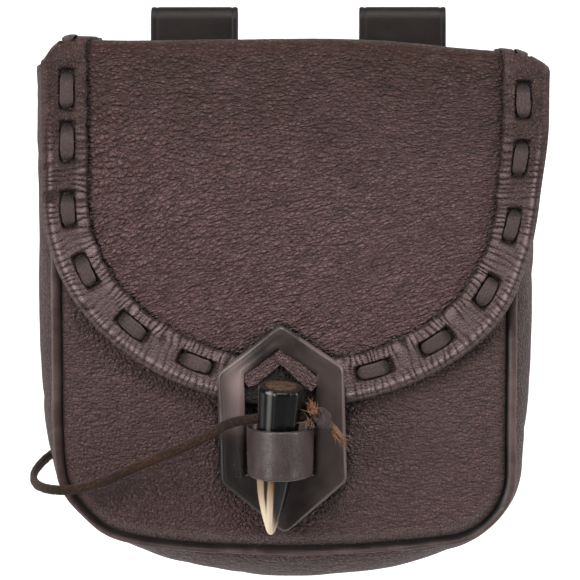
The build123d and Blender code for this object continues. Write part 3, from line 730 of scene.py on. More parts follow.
def flap_point(x, w, h):
    """A point at height h above the flap's middle layer, with the real flap's droop and waves."""
    x, w, h = np.broadcast_arrays(np.asarray(x, float), np.asarray(w, float), np.asarray(h, float))
    back_turn = np.clip(w / BACK_R, 0, math.pi / 2)
    front_turn = np.clip((w - W_TOP) / FRONT_R, 0, math.pi / 2)
    run = np.clip(w - BACK_ARC, 0, TOP_RUN)
    fall = np.clip(w - W_DROP, 0, None)
    rise = np.clip(w, None, 0)
    ny = np.cos(back_turn) - np.sin(front_turn)
    nz = np.sin(back_turn) * np.cos(front_turn)
    y = BACK_Y - BACK_R * (1 - np.cos(back_turn)) - run - FRONT_R * np.sin(front_turn)
    z = TOP_Z - BACK_R * (1 - np.sin(back_turn)) + rise - FRONT_R * (1 - np.cos(front_turn)) - fall
    y = y + h * ny
    z = z + h * nz
    side = np.abs(x - FLAP_X)
    over = smooth((w + 5) / 9) * (1 - smooth((w - W_TOP) / 16))
    corner = np.where(x > FLAP_X, 6.2 * np.clip((side - 80) / 20, 0, 1) ** 2, 8.6 * np.clip((side - 86) / 14, 0, 1) ** 3)
    z = z - corner * over
    fore = smooth((w + 7) / 9) * (1 - smooth((w - W_DROP) / 60))
    z = z - 4.8 * smooth((x - 12) / 86) ** 1.3 * fore
    z = z + 0.3 * np.sin(x / 24 + 1) * over
    hang = smooth((w - W_TOP) / 20)
    narrower = smooth((w - W_DROP - 20) / 50) * (1 - smooth((w - W_DROP - 80) / 34))
    x = x - 4.2 * narrower * np.clip((x - FLAP_X) / 101, 0, None) ** 2
    y = y + 3.4 * np.clip((side - 80) / 21, 0, 1) ** 2 * hang
    y = y - hang * 1.3 * np.exp(-(((x - FLAP_X) / 62) ** 2)) * np.exp(-(((w - 110) / 34) ** 2))
    free = hang * (1 - np.exp(-(((x + 2.4) / 34) ** 4)) * smooth((w - 150) / 22))
    y = y - 0.45 * free * fractal(x / 33, w / 33, 51)
    return np.stack([x, y, z], axis=-1)


def flap_half(w):
    """Half width of the flap at each w."""
    down = np.clip((w - W_ROUND) / ROUND_DROP, 0, 1)
    return FLAP_HALF * np.sqrt(1 - down**2)


def skin(x, w):
    """Relief of the flap's outer face: long soft creases across it and small lumps."""
    crease = 0.22 * ridges(x / 26 + 0.2 * np.sin(w / 9), w / 6.5, 61)
    return 0.16 * fractal(x / 5, w / 3.5, 63) - crease


# The edge as one line: up from the back on the left, round, and back up on the right.
EDGE_SIDE = W_ROUND + 3.0
angles = np.linspace(0, math.pi, 721)
ellipse = np.stack([-FLAP_HALF * np.cos(angles), ROUND_DROP * np.sin(angles)], axis=-1)
ellipse_run = np.concatenate([[0], np.cumsum(np.hypot(*np.diff(ellipse, axis=0).T))])
EDGE_ROUND = ellipse_run[-1]
EDGE_LENGTH = 2 * EDGE_SIDE + EDGE_ROUND


def edge(s):
    """Points (x, w) and inward normals at distances s along the flap's edge."""
    s = np.asarray(s, float)
    angle = np.interp(s - EDGE_SIDE, ellipse_run, angles)
    x = FLAP_X - FLAP_HALF * np.cos(angle)
    w = W_ROUND + ROUND_DROP * np.sin(angle)
    w = np.where(s < EDGE_SIDE, W_ROUND + s - EDGE_SIDE, w)
    w = np.where(s > EDGE_SIDE + EDGE_ROUND, W_ROUND - (s - EDGE_SIDE - EDGE_ROUND), w)
    normal = np.stack([np.cos(angle) / FLAP_HALF, -np.sin(angle) / ROUND_DROP], axis=-1)
    normal = normal / np.linalg.norm(normal, axis=-1, keepdims=True)
    return np.stack([x, w], axis=-1), normal


def edge_at(x, w):
    """The distance along the edge whose inward line passes nearest to a point."""
    s = np.linspace(0, EDGE_LENGTH, 4001)
    place, normal = edge(s)
    middle = place + normal * BAND / 2
    return s[np.argmin(np.hypot(middle[:, 0] - x, middle[:, 1] - w))]



def inside_flap(x, w):
    """Distance in from the flap's edge."""
    place, _ = edge(np.linspace(0, EDGE_LENGTH, 900))
    return np.stack([np.sqrt(((np.stack([p, q], axis=-1)[:, None] - place) ** 2).sum(axis=-1).min(axis=1)) for p, q in zip(x, w)])


def flap_sheet(name, w, body_pair, start, end, *nodes):
    """A part of the flap between the first and the last w."""
    u = np.linspace(-1, 1, 210)
    w = w[:, None]
    x = FLAP_X + flap_half(w) * u[None, :]
    w = np.broadcast_to(w, x.shape)
    inside = inside_flap(x, w)
    bared = inside - BAND
    seat = np.exp(-((bared / 1.1) ** 2))  # a groove where the border's inner edge bites
    pull = 0.3 * noise(x / 2.6, w / 2.6, 65) * np.exp(-((np.clip(bared, 0, None) / 5) ** 2)) * smooth((w - W_ROUND) / 30)
    round_tab = tab_distance(x, W_DROP + DROP_TOP_Z - w)
    press = np.exp(-((np.clip(round_tab, 0, None) / 1.7) ** 2)) * (round_tab > -3) * smooth((w - W_ROUND) / 10)
    relief = skin(x, w) * smooth(bared / 6) - 0.55 * seat + pull - 0.5 * press
    outer = flap_point(x, w, LEATHER / 2 + relief)
    inner = flap_point(x, w, -LEATHER / 2 + 0 * x)
    # Painted shade: a dark line at the border's inner edge, a dark halo round the tab, and dark where the tab's window
    # shows the flap.
    tone = -0.8 * np.exp(-((bared / 0.9) ** 2)) - 0.75 * press - 2 * in_window(x, W_DROP + DROP_TOP_Z - w)
    slant = 0.3 * (x - 20) * smooth((w - 60) / 100)
    piece = sheet_piece(name, outer, inner, np.stack([x, -w - slant], axis=-1), FLAP, tone=np.clip(tone, -1, 0))
    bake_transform(piece)
    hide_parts(*nodes)


BACK_BEND = {"start": (0, -0.0055, 0.0125), "end": (0, -0.0155, 0.0205)}
FRONT_BEND = {"start": (0, -0.0530, 0.0206), "end": (0, -0.0675, -0.0010)}


def rows_over(first, last, step, fine=()):
    return np.unique(np.concatenate([np.linspace(first, last, int((last - first) / step) + 2), *fine]))


top_rows = rows_over(-7.0, W_MIDDLE, 1.0, [np.linspace(0, BACK_ARC, 12)])
turn_rows = np.linspace(W_TOP, W_DROP, 16)
round_rows = W_ROUND + ROUND_DROP * np.sin(np.linspace(0, math.pi / 2, 96)[:-1])
drop_rows = np.unique(np.concatenate([rows_over(W_MIDDLE, W_ROUND, 1.0, [turn_rows]), round_rows, [W_END - 0.02]]))
flap_sheet("flap_over_mouth", top_rows, ("pouch", "flap_top"), BACK_BEND["start"], BACK_BEND["end"], "flap_top")
flap_sheet("flap_front", drop_rows, ("flap_top", "flap_front"), FRONT_BEND["start"], FRONT_BEND["end"], "flap_drop")

def cad_stitches():
    """Middles of the CAD lace stitches as distances along the edge, with one more over each front fold."""
    found = []
    for side in ("left", "right"):
        mesh = frame["nodes"][f"edge_lace_{side}"].data
        points = np.array([v.co for v in mesh.vertices]) / MM
        loose = [points[sorted(group)] for group in islands(mesh)]
        found += [edge_at(group[:, 0].mean(), W_DROP + DROP_TOP_Z - group[:, 2].mean()) for group in loose]
    over_fold = EDGE_SIDE - (W_ROUND - W_TOP) - 4.0
    return sorted(found), [over_fold, EDGE_LENGTH - over_fold + 1.0]


def islands(mesh):
    """Sets of vertices that belong together, merging doubled ones by place."""
    places, parent = {}, list(range(len(mesh.vertices)))

    def root(i):
        while parent[i] != i:
            parent[i] = parent[parent[i]]
            i = parent[i]
        return i

    for v in mesh.vertices:
        key = tuple(round(c, 6) for c in v.co)
        parent[v.index] = root(places.setdefault(key, v.index))
    for e in mesh.edges:
        parent[root(e.vertices[0])] = root(e.vertices[1])
    groups = {}
    for v in mesh.vertices:
        groups.setdefault(root(v.index), set()).add(v.index)
    return groups.values()


STITCHES, FOLD_STITCHES = cad_stitches()
ALL_STITCHES = np.array(STITCHES + FOLD_STITCHES)
STITCH_LONG = 14.0
STITCH_WIDE = 5.6
LACE_MIDDLE = 9.4  # from the flap's edge to the middle of the lace


def stitch_field(s, r):
    """For each place on the band, how deep in a stitch's bed it is, and how near a stitch end."""
    a = np.abs(s[..., None] - ALL_STITCHES) / (STITCH_LONG / 2)
    b = np.abs(r[..., None] - LACE_MIDDLE) / (STITCH_WIDE / 2)
    bed = np.max(1 - smooth((np.maximum(a, b) - 1.0) / 0.28), axis=-1)
    end = np.max(np.exp(-(((a - 1.12) / 0.16) ** 2)) * np.exp(-((b / 1.0) ** 4)), axis=-1)
    return bed, end


def gathered(s):
    """How strongly the border is gathered: faintly over the fold and down the sides, fully round the curve."""
    down = np.minimum(s, EDGE_LENGTH - s)
    return 0.25 + 0.75 * smooth((down - 84) / 34)


def band_relief(s, r):
    """Height of the border's gathers, beds and beads at distance s along it and r in from the edge, and their tone:
    painted highlight and painted shade.
    """
    full = gathered(s)
    pitch = s / 2.8 + 1.0 * noise(s / 7, r / 13, 71) + 0.3 * noise(s / 2.2, r / 4, 72)
    hump = np.abs(np.sin(math.pi * pitch)) ** 0.8
    size = 0.6 + 0.6 * noise(s / 3.3, r / 9, 73)
    inner = 0.55 + 0.75 * smooth((r - LACE_MIDDLE) / 5) + 0.5 * np.exp(-(((r - 2.6) / 1.9) ** 2))
    gathers = hump * size * full * inner
    bed, end = stitch_field(s, r)
    near = np.exp(-(((r - LACE_MIDDLE) / 4.5) ** 2))
    puff = 0.45 * near * (1 - bed) + 0.25 * fractal(s / 7, r / 5, 75)
    height = (0.85 * (gathers - 0.45) + puff) * (1 - bed) - 1.15 * bed - 0.9 * end
    valley = (1 - hump) ** 2 * full
    outer_edge_line = np.exp(-(((r - 0.6) / 1.0) ** 2))
    rim = smooth((r - BAND + 1.2) / 1.0)
    beads = np.exp(-(((r - 2.3) / 0.9) ** 2)) * hump * (full - 0.25)
    ditch = np.exp(-(((r - 1.1) / 0.35) ** 2)) * full
    # Tone: a paler line along the outer edge; painted highlight on the beads, the gather tops and the lower border;
    # painted shade in the valleys, the ditch, the stitch beds and slits, and at the inner rim.
    tone = 0.25 * outer_edge_line + 0.9 * beads - 0.5 * ditch - 0.55 * valley * inner - 0.95 * np.maximum(bed * 0.9, end) - 0.5 * rim
    tone = tone + 0.35 * gathers * smooth((r - LACE_MIDDLE - 2) / 3)
    tone = tone + 0.3 * smooth((np.minimum(s, EDGE_LENGTH - s) - 95) / 60) * (1 - bed)
    return height, np.clip(tone, -1, 1)


def band_section():
    """Cross-section of the border as (distance in from the edge, height above the flap's middle)."""
    face = LEATHER / 2
    top = np.concatenate([np.linspace(2.2, BAND - 1.0, 34), [BAND - 0.35]])
    rim = [(-0.05, -face), (-0.7, -face - 0.1), (-1.15, -0.6), (-1.25, 0.5), (-0.9, 1.7), (-0.1, 2.55), (1.0, 2.85)]
    over = [(r, face + STRIP + 0.25) for r in top]
    fall = [(BAND, face + STRIP - 0.35), (BAND, face + 0.0), (BAND - 6, face - 0.05), (0.0, face - 0.05)]
    return np.array(rim + over + fall)


def border_strip(name, first, last, body_pair, bend, *nodes):
    """The border along a stretch of the edge, bound over it and gathered between its stitches."""
    s = np.linspace(first, last, int((last - first) / 0.5) + 2)[:, None]
    section = band_section()
    r = np.broadcast_to(section[None, :, 0], (len(s), len(section)))
    h = np.broadcast_to(section[None, :, 1], r.shape)
    s = np.broadcast_to(s, r.shape)
    place, inward = edge(s[:, 0])
    on_top = smooth((h - LEATHER / 2 - 0.2) / 0.8)
    rough_edge = 0.5 * noise(s / 4.5, 0 * s, 79) * smooth((r - BAND + 3) / 3)
    x = place[:, :1] + inward[:, :1] * (r + rough_edge)
    w = place[:, 1:] + inward[:, 1:] * (r + rough_edge)
    relief, tone = band_relief(s, r)
    # Painted shade where the tab's window shows the border.
    tone = np.clip(tone - 2 * in_window(x, W_DROP + DROP_TOP_Z - w), -1, 1)
    points = flap_point(x, w, h + on_top * relief)
    piece = tube_piece(name, points, np.stack([s, r + h + 60], axis=-1), BORDER, tone=tone * (h > 0))
    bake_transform(piece)
    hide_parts(*nodes)


S_START = EDGE_SIDE - W_ROUND + 0.5
S_MIDDLE = EDGE_SIDE - (W_ROUND - W_MIDDLE)
border_strip("border_top_left", S_START, S_MIDDLE, ("pouch", "flap_top"), BACK_BEND, "flap_border_top_left")
border_strip("border_round", S_MIDDLE, EDGE_LENGTH - S_MIDDLE, ("flap_top", "flap_front"), FRONT_BEND, "flap_border")
border_strip("border_top_right", EDGE_LENGTH - S_MIDDLE, EDGE_LENGTH - S_START, ("pouch", "flap_top"), BACK_BEND, "flap_border_top_right")


def lace_stitch(index, middle, body_pair=None):
    """One visible length of the flat lace, diving into a slit at each end."""
    a = np.sin(np.linspace(-1, 1, 34) * math.pi / 2)[:, None]
    turn = np.linspace(0, 2 * math.pi, 28, endpoint=False)
    wide = np.sign(np.cos(turn)) * np.abs(np.cos(turn)) ** 0.55
    tall = np.sign(np.sin(turn)) * np.abs(np.sin(turn)) ** 0.7
    narrow = (1 - np.abs(a) ** 4.5) ** 0.5 * 0.86 + 0.12 + 0.05 * noise(a * 3 + index, 0 * a, 83)
    b = wide[None, :] * narrow
    s = middle + a * (STITCH_LONG / 2 + 0.3) + 0 * b
    lean = 0.5 * noise(np.array(index * 1.7), np.array(0.5), 85)
    r = LACE_MIDDLE + b * STITCH_WIDE / 2 + lean * a
    arch = LEATHER / 2 + STRIP - 0.2 + 0.75 * (1 - a**2) - 1.3 * smooth((np.abs(a) - 0.72) / 0.28)
    h = arch + (0.5 - 0.22 * wide**4) * tall[None, :] + 0.12 * noise(s * 0.8, r * 0.8, 87)
    place, inward = edge(s[:, 0])
    x = place[:, :1] + inward[:, :1] * r
    w = place[:, 1:] + inward[:, 1:] * r
    flat = np.stack([s, r + 5 * (tall < 0) + 90], axis=-1)
    upper = a if middle > EDGE_LENGTH / 2 else -a
    # Painted highlight along the middle of the stitch; painted shade at its upper end and at its lower tip.
    tone = 0.22 * (1 - a**2) - 0.9 * smooth((upper - 0.35) / 0.6) - 0.35 * smooth((-upper - 0.8) / 0.2) + 0 * b
    return flap_point(x, w, h), flat, tone


def lace_run(name, stitches, bend=None, body=None, node=None):
    """All the stitches of one run as separate strips in one piece."""
    points, faces, flats, tones = [], [], [], []
    total = 0
    for index, middle in enumerate(stitches):
        rings, flat, tone = lace_stitch(index, middle)
        # Painted shade on the end caps, down in the slits.
        tones += [tone.ravel(), [-0.9, -0.9]]
        rows, cols = rings.shape[:2]
        caps = np.stack([rings[0].mean(axis=0), rings[-1].mean(axis=0)])
        points += [rings.reshape(-1, 3), caps]
        flats += [flat.reshape(-1, 2), np.stack([flat[0].mean(axis=0), flat[-1].mean(axis=0)])]
        faces += grid_faces(rows, cols, wrap=True, start=total).tolist()
        a = total + rows * cols
        base = total + (rows - 1) * cols
        faces += [[a, total + (j + 1) % cols, total + j] for j in range(cols)]
        faces += [[a + 1, base + j, base + (j + 1) % cols] for j in range(cols)]
        total = a + 2
    piece = make_piece(name, np.concatenate(points), faces, np.concatenate(flats), LACE, tone=np.concatenate(tones))
    if bend:
        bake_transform(piece)
    else:
        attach(piece, body)
    if node:
        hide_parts(node)


half_edge = EDGE_LENGTH / 2
lace_run("lace_left", [s for s in STITCHES if s < half_edge], FRONT_BEND, node="edge_lace_left")
lace_run("lace_right", [s for s in STITCHES if s > half_edge], FRONT_BEND, node="edge_lace_right")
lace_run("lace_folds", FOLD_STITCHES, FRONT_BEND)

# ---------------------------------------------------------------------------------------------
# Closure tab and the folds in its window
# ---------------------------------------------------------------------------------------------

def closure_tab():
    """Six-sided frame with bevelled edges, a painted highlight along the right edge and painted highlight and shade on
    its face. Its lower half leans back onto the pouch.
    """
    angles = np.linspace(0, 2 * math.pi, 480, endpoint=False)
    outside = ray_lengths(TAB_OUTLINE, angles, 5.0)[:, None]
    inside = ray_lengths(WINDOW, angles, 3.0)[:, None]
    rear, face = -tab_high[1], -tab_low[1]
    width = outside - inside
    edge_in = np.array([0.0, -0.0, 0.1, 0.5, 1.0, 1.5, 2.1, 2.6, 3.2])
    edge_up = np.array([0.0, 1.2, 1.7, 2.15, 2.5, 2.72, 2.66, 2.72, 2.8])
    field = np.linspace(0, 1, 12)[1:-1]
    reach = [outside - e for e in edge_in]
    up = [np.full_like(outside, u) for u in edge_up]
    for f in field:
        reach.append(outside - 3.2 - (width - 5.4) * f)
        up.append(np.full_like(outside, 2.8) - 0.12 * math.sin(math.pi * f))
    for e, u in ((2.2, 2.8), (1.2, 2.7), (0.5, 2.35), (0.1, 1.7), (0.0, 1.2), (0.0, 0.0)):
        reach.append(inside + e)
        up.append(np.full_like(outside, u))
    reach = np.concatenate(reach, axis=1)
    up = np.concatenate(up, axis=1)
    x = TAB_X + reach * np.cos(angles)[:, None]
    z = TAB_MIDDLE + reach * np.sin(angles)[:, None]
    lean = 1.6 * smooth((-118 - z) / 30)
    warp = 0.25 * fractal(x / 20, z / 20, 91)
    shoulder = smooth((-9 - x) / 18) * smooth((z + 146) / 20)
    curl = 0.5 * ((x - TAB_X) / TAB_HALF) ** 2 + 1.7 * shoulder
    y = -(rear + up * (face - rear) / 2.8) + lean + warp * 0.6 + curl
    # Painted highlight on the upper left shoulder, painted shade at the lower left, the right side lighter, and a
    # painted highlight along the right edge.
    painted_shoulder_highlight = np.exp(-(((x + 19.5) / 5.5) ** 2)) * np.exp(-(((z + 117) / 9.5) ** 2))
    painted_shoulder_highlight = painted_shoulder_highlight + 0.35 * np.exp(-(((x + 19) / 7) ** 2)) * np.exp(-(((z + 131) / 7) ** 2))
    painted_lower_left_shade = 0.75 * smooth((-4 - x) / 10) * smooth((-137 - z) / 8)
    tone = 1.0 * painted_shoulder_highlight + 0.17 * smooth((x - 8) / 10) * smooth((z + 172) / 10) - painted_lower_left_shade + 0.35 * (outside - reach < 1.2) * (x > 5)
    rings = np.stack([x, y, z], axis=-1)
    piece = tube_piece("closure_tab_leather", rings, np.stack([x, z], axis=-1), TAB, "flap_front", closed=True, sharp_deg=70, tone=np.clip(tone, -1, 1))
    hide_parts("closure_tab")


def window_fold(name, node, foot, head, lift, wide, pointed):
    """A folded strip of flap leather across the window's roof, rough on its face."""
    foot, head = np.array(foot), np.array(head)
    along = (head - foot) / np.linalg.norm(head - foot)
    side = np.array([-along[1], along[0]])
    t = np.linspace(0, 1, 40)[:, None]
    section = strap_section(wide, 1.7, edge=0.7)
    taper = 1 - pointed * smooth((t - 0.7) / 0.3) - 0.35 * smooth((0.12 - t) / 0.12)
    across = section[None, :, 0] * taper
    place = foot + (head - foot) * t
    x = place[:, :1] + side[0] * across
    z = place[:, 1:] + side[1] * across
    relief = 0.22 * noise(x / 1.3, z / 1.3, 93) + 0.2 * fractal(x / 4, z / 4, 95)
    y = -(strip_high[1] * -1 + lift + section[None, :, 1] + relief * (section[None, :, 1] > 0.4))
    rings = np.stack([x, y, z], axis=-1)
    flat = np.stack([t * 17 + 0 * x, across + 500], axis=-1)
    piece = tube_piece(name, rings, flat, BORDER, "flap_front")
    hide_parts(node)


closure_tab()
window_fold("window_fold_under", "window_fold_left", (-16.4, -117.4), (-0.6, -104.8), 1.1, 6.2, 0.1)
window_fold("window_fold_over", "window_fold_right", (-3.4, -104.2), (11.6, -118.6), 1.9, 6.6, 0.1)

# ---------------------------------------------------------------------------------------------
# Keeper loop and belt loops
# ---------------------------------------------------------------------------------------------


def strap_along(name, line, normals, section, flat_start, material, body, across, closed=False):
    """A strap whose flat side faces the normals, laid along a line. across is its width direction."""
    across = np.broadcast_to(np.asarray(across, float), line.shape)
    rings = line[:, None] + across[:, None] * section[None, :, :1] + normals[:, None] * section[None, :, 1:]
    run = np.concatenate([[0], np.cumsum(np.linalg.norm(np.diff(line, axis=0), axis=1))])
    flat = np.stack([run[:, None] + flat_start + 0 * section[None, :, 0], section[None, :, 0] + section[None, :, 1] + 0 * run[:, None]], axis=-1)
    return tube_piece(name, rings, flat, material, body, closed=closed)


def keeper_loop():
    """Ring of strap on the front panel: flat at its base, round in front, slightly narrower below."""
    low, high = span("keeper_loop")
    middle_x = (low[0] + high[0]) / 2
    half = (high[0] - low[0]) / 2
    base, front = high[1], low[1]
    turn = np.linspace(0, math.pi, 60)
    spring_y = -79.0
    nose = np.stack([middle_x + half * np.cos(turn), spring_y - (spring_y - front) * np.sin(turn)], axis=-1)
    side = np.linspace(0, 1, 14)[1:]
    left = np.stack([np.full(13, middle_x - half), spring_y + (base - 3 - spring_y) * side], axis=-1)
    round_left = [(middle_x - half + 1.0, base - 0.8), (middle_x - half + 3.2, base)]
    line = np.concatenate([nose, left, round_left, np.array([(middle_x, base)]), np.array(round_left[::-1]) * (-1, 1) + (2 * middle_x, 0), left[::-1] * (-1, 1) + (2 * middle_x, 0)])
    ahead = np.roll(line, -1, axis=0) - np.roll(line, 1, axis=0)
    inward = np.stack([ahead[:, 1], -ahead[:, 0]], axis=-1)
    inward /= np.linalg.norm(inward, axis=1, keepdims=True)
    towards = np.array([middle_x, spring_y]) - line
    inward *= np.sign((inward * towards).sum(axis=1, keepdims=True))
    tall = high[2] - low[2]
    section = strap_section(tall, 2.2, edge=0.7, fine=20)
    up = section[None, :, 0]
    depth = 2.2 - section[None, :, 1]
    taper = 1 - 0.035 * (0.5 - up / tall)
    wave = 0.18 * noise(up / 5 + 0 * line[:, :1], np.linspace(0, 9, len(line))[:, None], 97)
    x = middle_x + (line[:, :1] + inward[:, :1] * depth - middle_x) * taper
    y = line[:, 1:] + inward[:, 1:] * (depth + wave)
    z = (low[2] + high[2]) / 2 + up + 0 * y
    run = np.concatenate([[0], np.cumsum(np.linalg.norm(np.diff(line, axis=0), axis=1))])[:, None]
    flat = np.stack([run + 0 * y, up + depth + 0 * y + 200], axis=-1)
    piece = tube_piece("keeper_ring", np.stack([x, y, z], axis=-1), flat, KEEPER, "pouch", closed=True)
    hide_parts("keeper_loop")


def belt_loop(side):
    """Strap folded over the belt, with a pressed line near each edge and a tail sewn to the back."""
    low, high = span(f"belt_loop_{side}")
    middle_x, width = (low[0] + high[0]) / 2, high[0] - low[0]
    thick = 2.6
    inner = high[1] - thick
    top = high[2] - thick - inner
    turn = np.linspace(math.pi, 0, 26)
    over = np.stack([inner * np.cos(turn), top + inner * np.sin(turn)], axis=-1)
    up = np.stack([np.full(40, -inner), np.linspace(low[2], top, 41)[:-1]], axis=-1)
    down = np.stack([np.full(30, inner), np.linspace(top, -30, 31)[1:]], axis=-1)
    sway = np.linspace(0, 1, 14)[1:]
    tail_y = -inner + thick - thick
    into = np.stack([inner + (tail_y - inner) * smooth(sway), -30 - 9 * sway], axis=-1)
    tail = np.stack([np.full(10, tail_y), np.linspace(-39, low[2], 11)[1:]], axis=-1)
    line = np.concatenate([up, over, down, into, tail])
    ahead = np.gradient(line, axis=0)
    out = np.stack([-ahead[:, 1], ahead[:, 0]], axis=-1)
    out /= np.linalg.norm(out, axis=1, keepdims=True)
    sag = 0.3 * noise(np.linspace(0, 8, len(line)), np.zeros(len(line)), 99 if side == "left" else 101)
    line3 = np.stack([np.full(len(line), middle_x), line[:, 0], line[:, 1]], axis=-1)
    out3 = np.stack([np.zeros(len(line)), out[:, 0], out[:, 1]], axis=-1)
    line3[:, 0] += sag * 0.3
    section = strap_section(width - 0.4, thick, edge=0.8, groove=0.3, fine=26)
    piece = strap_along(f"belt_strap_{side}", line3, out3, section, 700 if side == "left" else 900, STRAP, "pouch", (1, 0, 0))
    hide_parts(f"belt_loop_{side}")


keeper_loop()
belt_loop("left")
belt_loop("right")

# ---------------------------------------------------------------------------------------------
# Horn toggle
# ---------------------------------------------------------------------------------------------

pull = next(joint for joint in frame["joints"] if joint["name"] == "toggle_pull")
HORN_UP = np.array(pull["axis"], float) / np.linalg.norm(pull["axis"])
HORN_TIP = np.array([-6.3, -77.0, -177.3])
HORN_TOP = np.array([-1.8, -88.0, -116.0])
HORN_LENGTH = np.linalg.norm(HORN_TOP - HORN_TIP)
HORN_RIGHT = np.array([1.0, 0, 0]) - HORN_UP * HORN_UP[0]
HORN_RIGHT /= np.linalg.norm(HORN_RIGHT)
HORN_FRONT = np.cross(HORN_RIGHT, HORN_UP) * -1
HORN_FRONT *= -np.sign(HORN_FRONT[1])


def horn_toggle():
    """Tip of a horn: faintly faceted, its end bent a little, the cut end domed and polished."""
    marks = [0, 0.4, 1.5, 4, 11, 18, 25, 34, 42, 52, HORN_LENGTH - 1.3, HORN_LENGTH - 0.4, HORN_LENGTH]
    sizes = [0.2, 1.0, 1.7, 2.6, 4.6, 6.2, 7.2, 7.8, 8.0, 8.5, 9.0, 8.8, 8.2]
    t = np.unique(np.concatenate([np.linspace(0, HORN_LENGTH, 110), [0.15, 0.4, 0.8, HORN_LENGTH - 1.3, HORN_LENGTH - 0.8, HORN_LENGTH - 0.4]]))
    radius = np.interp(t, marks, sizes)
    soft = np.convolve(np.pad(radius, 3, mode="edge"), np.ones(7) / 7, mode="valid")
    radius = np.where((t > 3) & (t < HORN_LENGTH - 3), soft, radius)[:, None]
    turn = np.linspace(-math.pi, math.pi, 96, endpoint=False)[None, :]
    facet = 0.022 * np.cos(7 * turn + 0.6) + 0.012 * np.cos(12 * turn + 2) + 0.01 * noise(turn * 3, t[:, None] / 15, 103)
    reach = radius * (1 + facet * smooth(t[:, None] / 10))
    bend = 0.8 * (1 - t / HORN_LENGTH) ** 2 * np.sin(t / HORN_LENGTH * math.pi)
    axis = HORN_TIP + t[:, None] * HORN_UP + bend[:, None] * HORN_RIGHT * -1.2
    side = HORN_RIGHT * np.sin(turn)[..., None] + HORN_FRONT * np.cos(turn)[..., None]
    rings = axis[:, None] + side * reach[..., None]
    flat = np.stack([turn * 8 + 0 * reach, t[:, None] + 0 * reach], axis=-1)
    # The cut end closes in rings, so that it can dome.
    for share, rise in ((0.75, 0.35), (0.45, 0.6), (0.15, 0.7)):
        ring = HORN_TOP + HORN_UP * rise + side[0] * 8.2 * share
        rings = np.concatenate([rings, ring[None]])
        flat = np.concatenate([flat, np.stack([np.sin(turn[0]) * 8 * share, 300 + np.cos(turn[0]) * 8 * share], axis=-1)[None]])
    piece = tube_piece("horn", rings, flat, HORN, "toggle", sharp_deg=80)
    piece.data.materials.append(HORN_CUT)
    first = (len(t) - 1) * 96
    for face in piece.data.polygons:
        if min(face.vertices) >= first and min(face.vertices) != len(rings) * 96:
            face.material_index = 1
    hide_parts("horn_toggle")


horn_toggle()

# ---------------------------------------------------------------------------------------------
# Tether thong, its knots and its frayed end
# ---------------------------------------------------------------------------------------------

THONG_WIDTH = 3.8
THONG_THICK = 2.8

# The route from the knot inside the pouch, round its left side to the horn's cross hole, in metres.
THONG_ROUTE = (
    (-0.0520, -0.0090, -0.1210),
    (-0.0520, 0.0000, -0.1210),
    (-0.0630, 0.0000, -0.1290),
    (-0.0800, -0.0028, -0.1410),
    (-0.0970, -0.0030, -0.1530),
    (-0.1062, -0.0180, -0.1585),
    (-0.1070, -0.0440, -0.1615),
    (-0.0975, -0.0640, -0.1625),
    (-0.0800, -0.0692, -0.1605),
    (-0.0560, -0.0702, -0.1492),
    (-0.0310, -0.0770, -0.1380),
    (-0.0196, -0.0861, -0.1284),
    (0.0073, -0.0858, -0.1285),
)


def spline_line(route, steps=24):
    """Points along one smooth NURBS curve whose control points are the route's."""
    curve = bpy.data.curves.new("route", "CURVE")
    curve.dimensions = "3D"
    curve.resolution_u = steps
    spline = curve.splines.new("NURBS")
    spline.points.add(len(route) - 1)
    for point, place in zip(spline.points, route):
        point.co = (*place, 1)
    spline.order_u = 3
    spline.use_endpoint_u = True
    carrier = bpy.data.objects.new("route", curve)
    mesh = bpy.data.meshes.new_from_object(carrier)
    line = np.array([v.co for v in mesh.vertices])
    bpy.data.objects.remove(carrier)
    bpy.data.meshes.remove(mesh)
    bpy.data.curves.remove(curve)
    return line


def frames_along(line, hints):
    """Unit directions along a line, and the hints turned square to it."""
    along = np.gradient(line, axis=0)
    along /= np.linalg.norm(along, axis=1, keepdims=True)
    face = hints - (hints * along).sum(axis=1, keepdims=True) * along
    face /= np.linalg.norm(face, axis=1, keepdims=True)
    return along, face, np.cross(along, face)


def ribbon(name, line, hints, width, thick, material, body=None, seed=0, fuzz=0.12, taper=None):
    """A soft rounded strip that follows a line, its flat side towards the hints, in millimetres."""
    _, face, across = frames_along(line, hints)
    run = np.concatenate([[0], np.cumsum(np.linalg.norm(np.diff(line, axis=0), axis=1))])[:, None]
    turn = np.linspace(0, 2 * math.pi, 24, endpoint=False)[None, :]
    a = np.sign(np.cos(turn)) * np.abs(np.cos(turn)) ** 0.7 * width / 2
    b = np.sign(np.sin(turn)) * np.abs(np.sin(turn)) ** 0.8 * thick / 2
    nap = 1 + fuzz * noise(run / 0.9, turn * 2.2, seed) * 0.6 + fuzz * 0.8 * fractal(run / 6, turn, seed + 1)
    size = nap if taper is None else nap * taper(run / run[-1])
    rings = line[:, None] + across[:, None] * (a * size)[..., None] + face[:, None] * (b * size)[..., None]
    flat = np.stack([run + 0 * a, turn * 2 + 0 * run], axis=-1)
    return tube_piece(name, rings, flat, material, body)


def joined(name, objects, body):
    """Several meshes as one piece."""
    work = bmesh.new()
    materials = []
    for one in objects:
        before = len(work.faces)
        work.from_mesh(one.data)
        work.faces.ensure_lookup_table()
        if one.data.materials[0] not in materials:
            materials.append(one.data.materials[0])
        for face in work.faces[before:]:
            face.material_index = materials.index(one.data.materials[0])
    mesh = bpy.data.meshes.new(name)
    work.to_mesh(mesh)
    work.free()
    for material in materials:
        mesh.materials.append(material)
    for one in objects:
        data = one.data
        bpy.data.objects.remove(one)
        bpy.data.meshes.remove(data)
    piece = bpy.data.objects.new(name, mesh)
    bpy.context.scene.collection.objects.link(piece)
    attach(piece, body)
    return piece


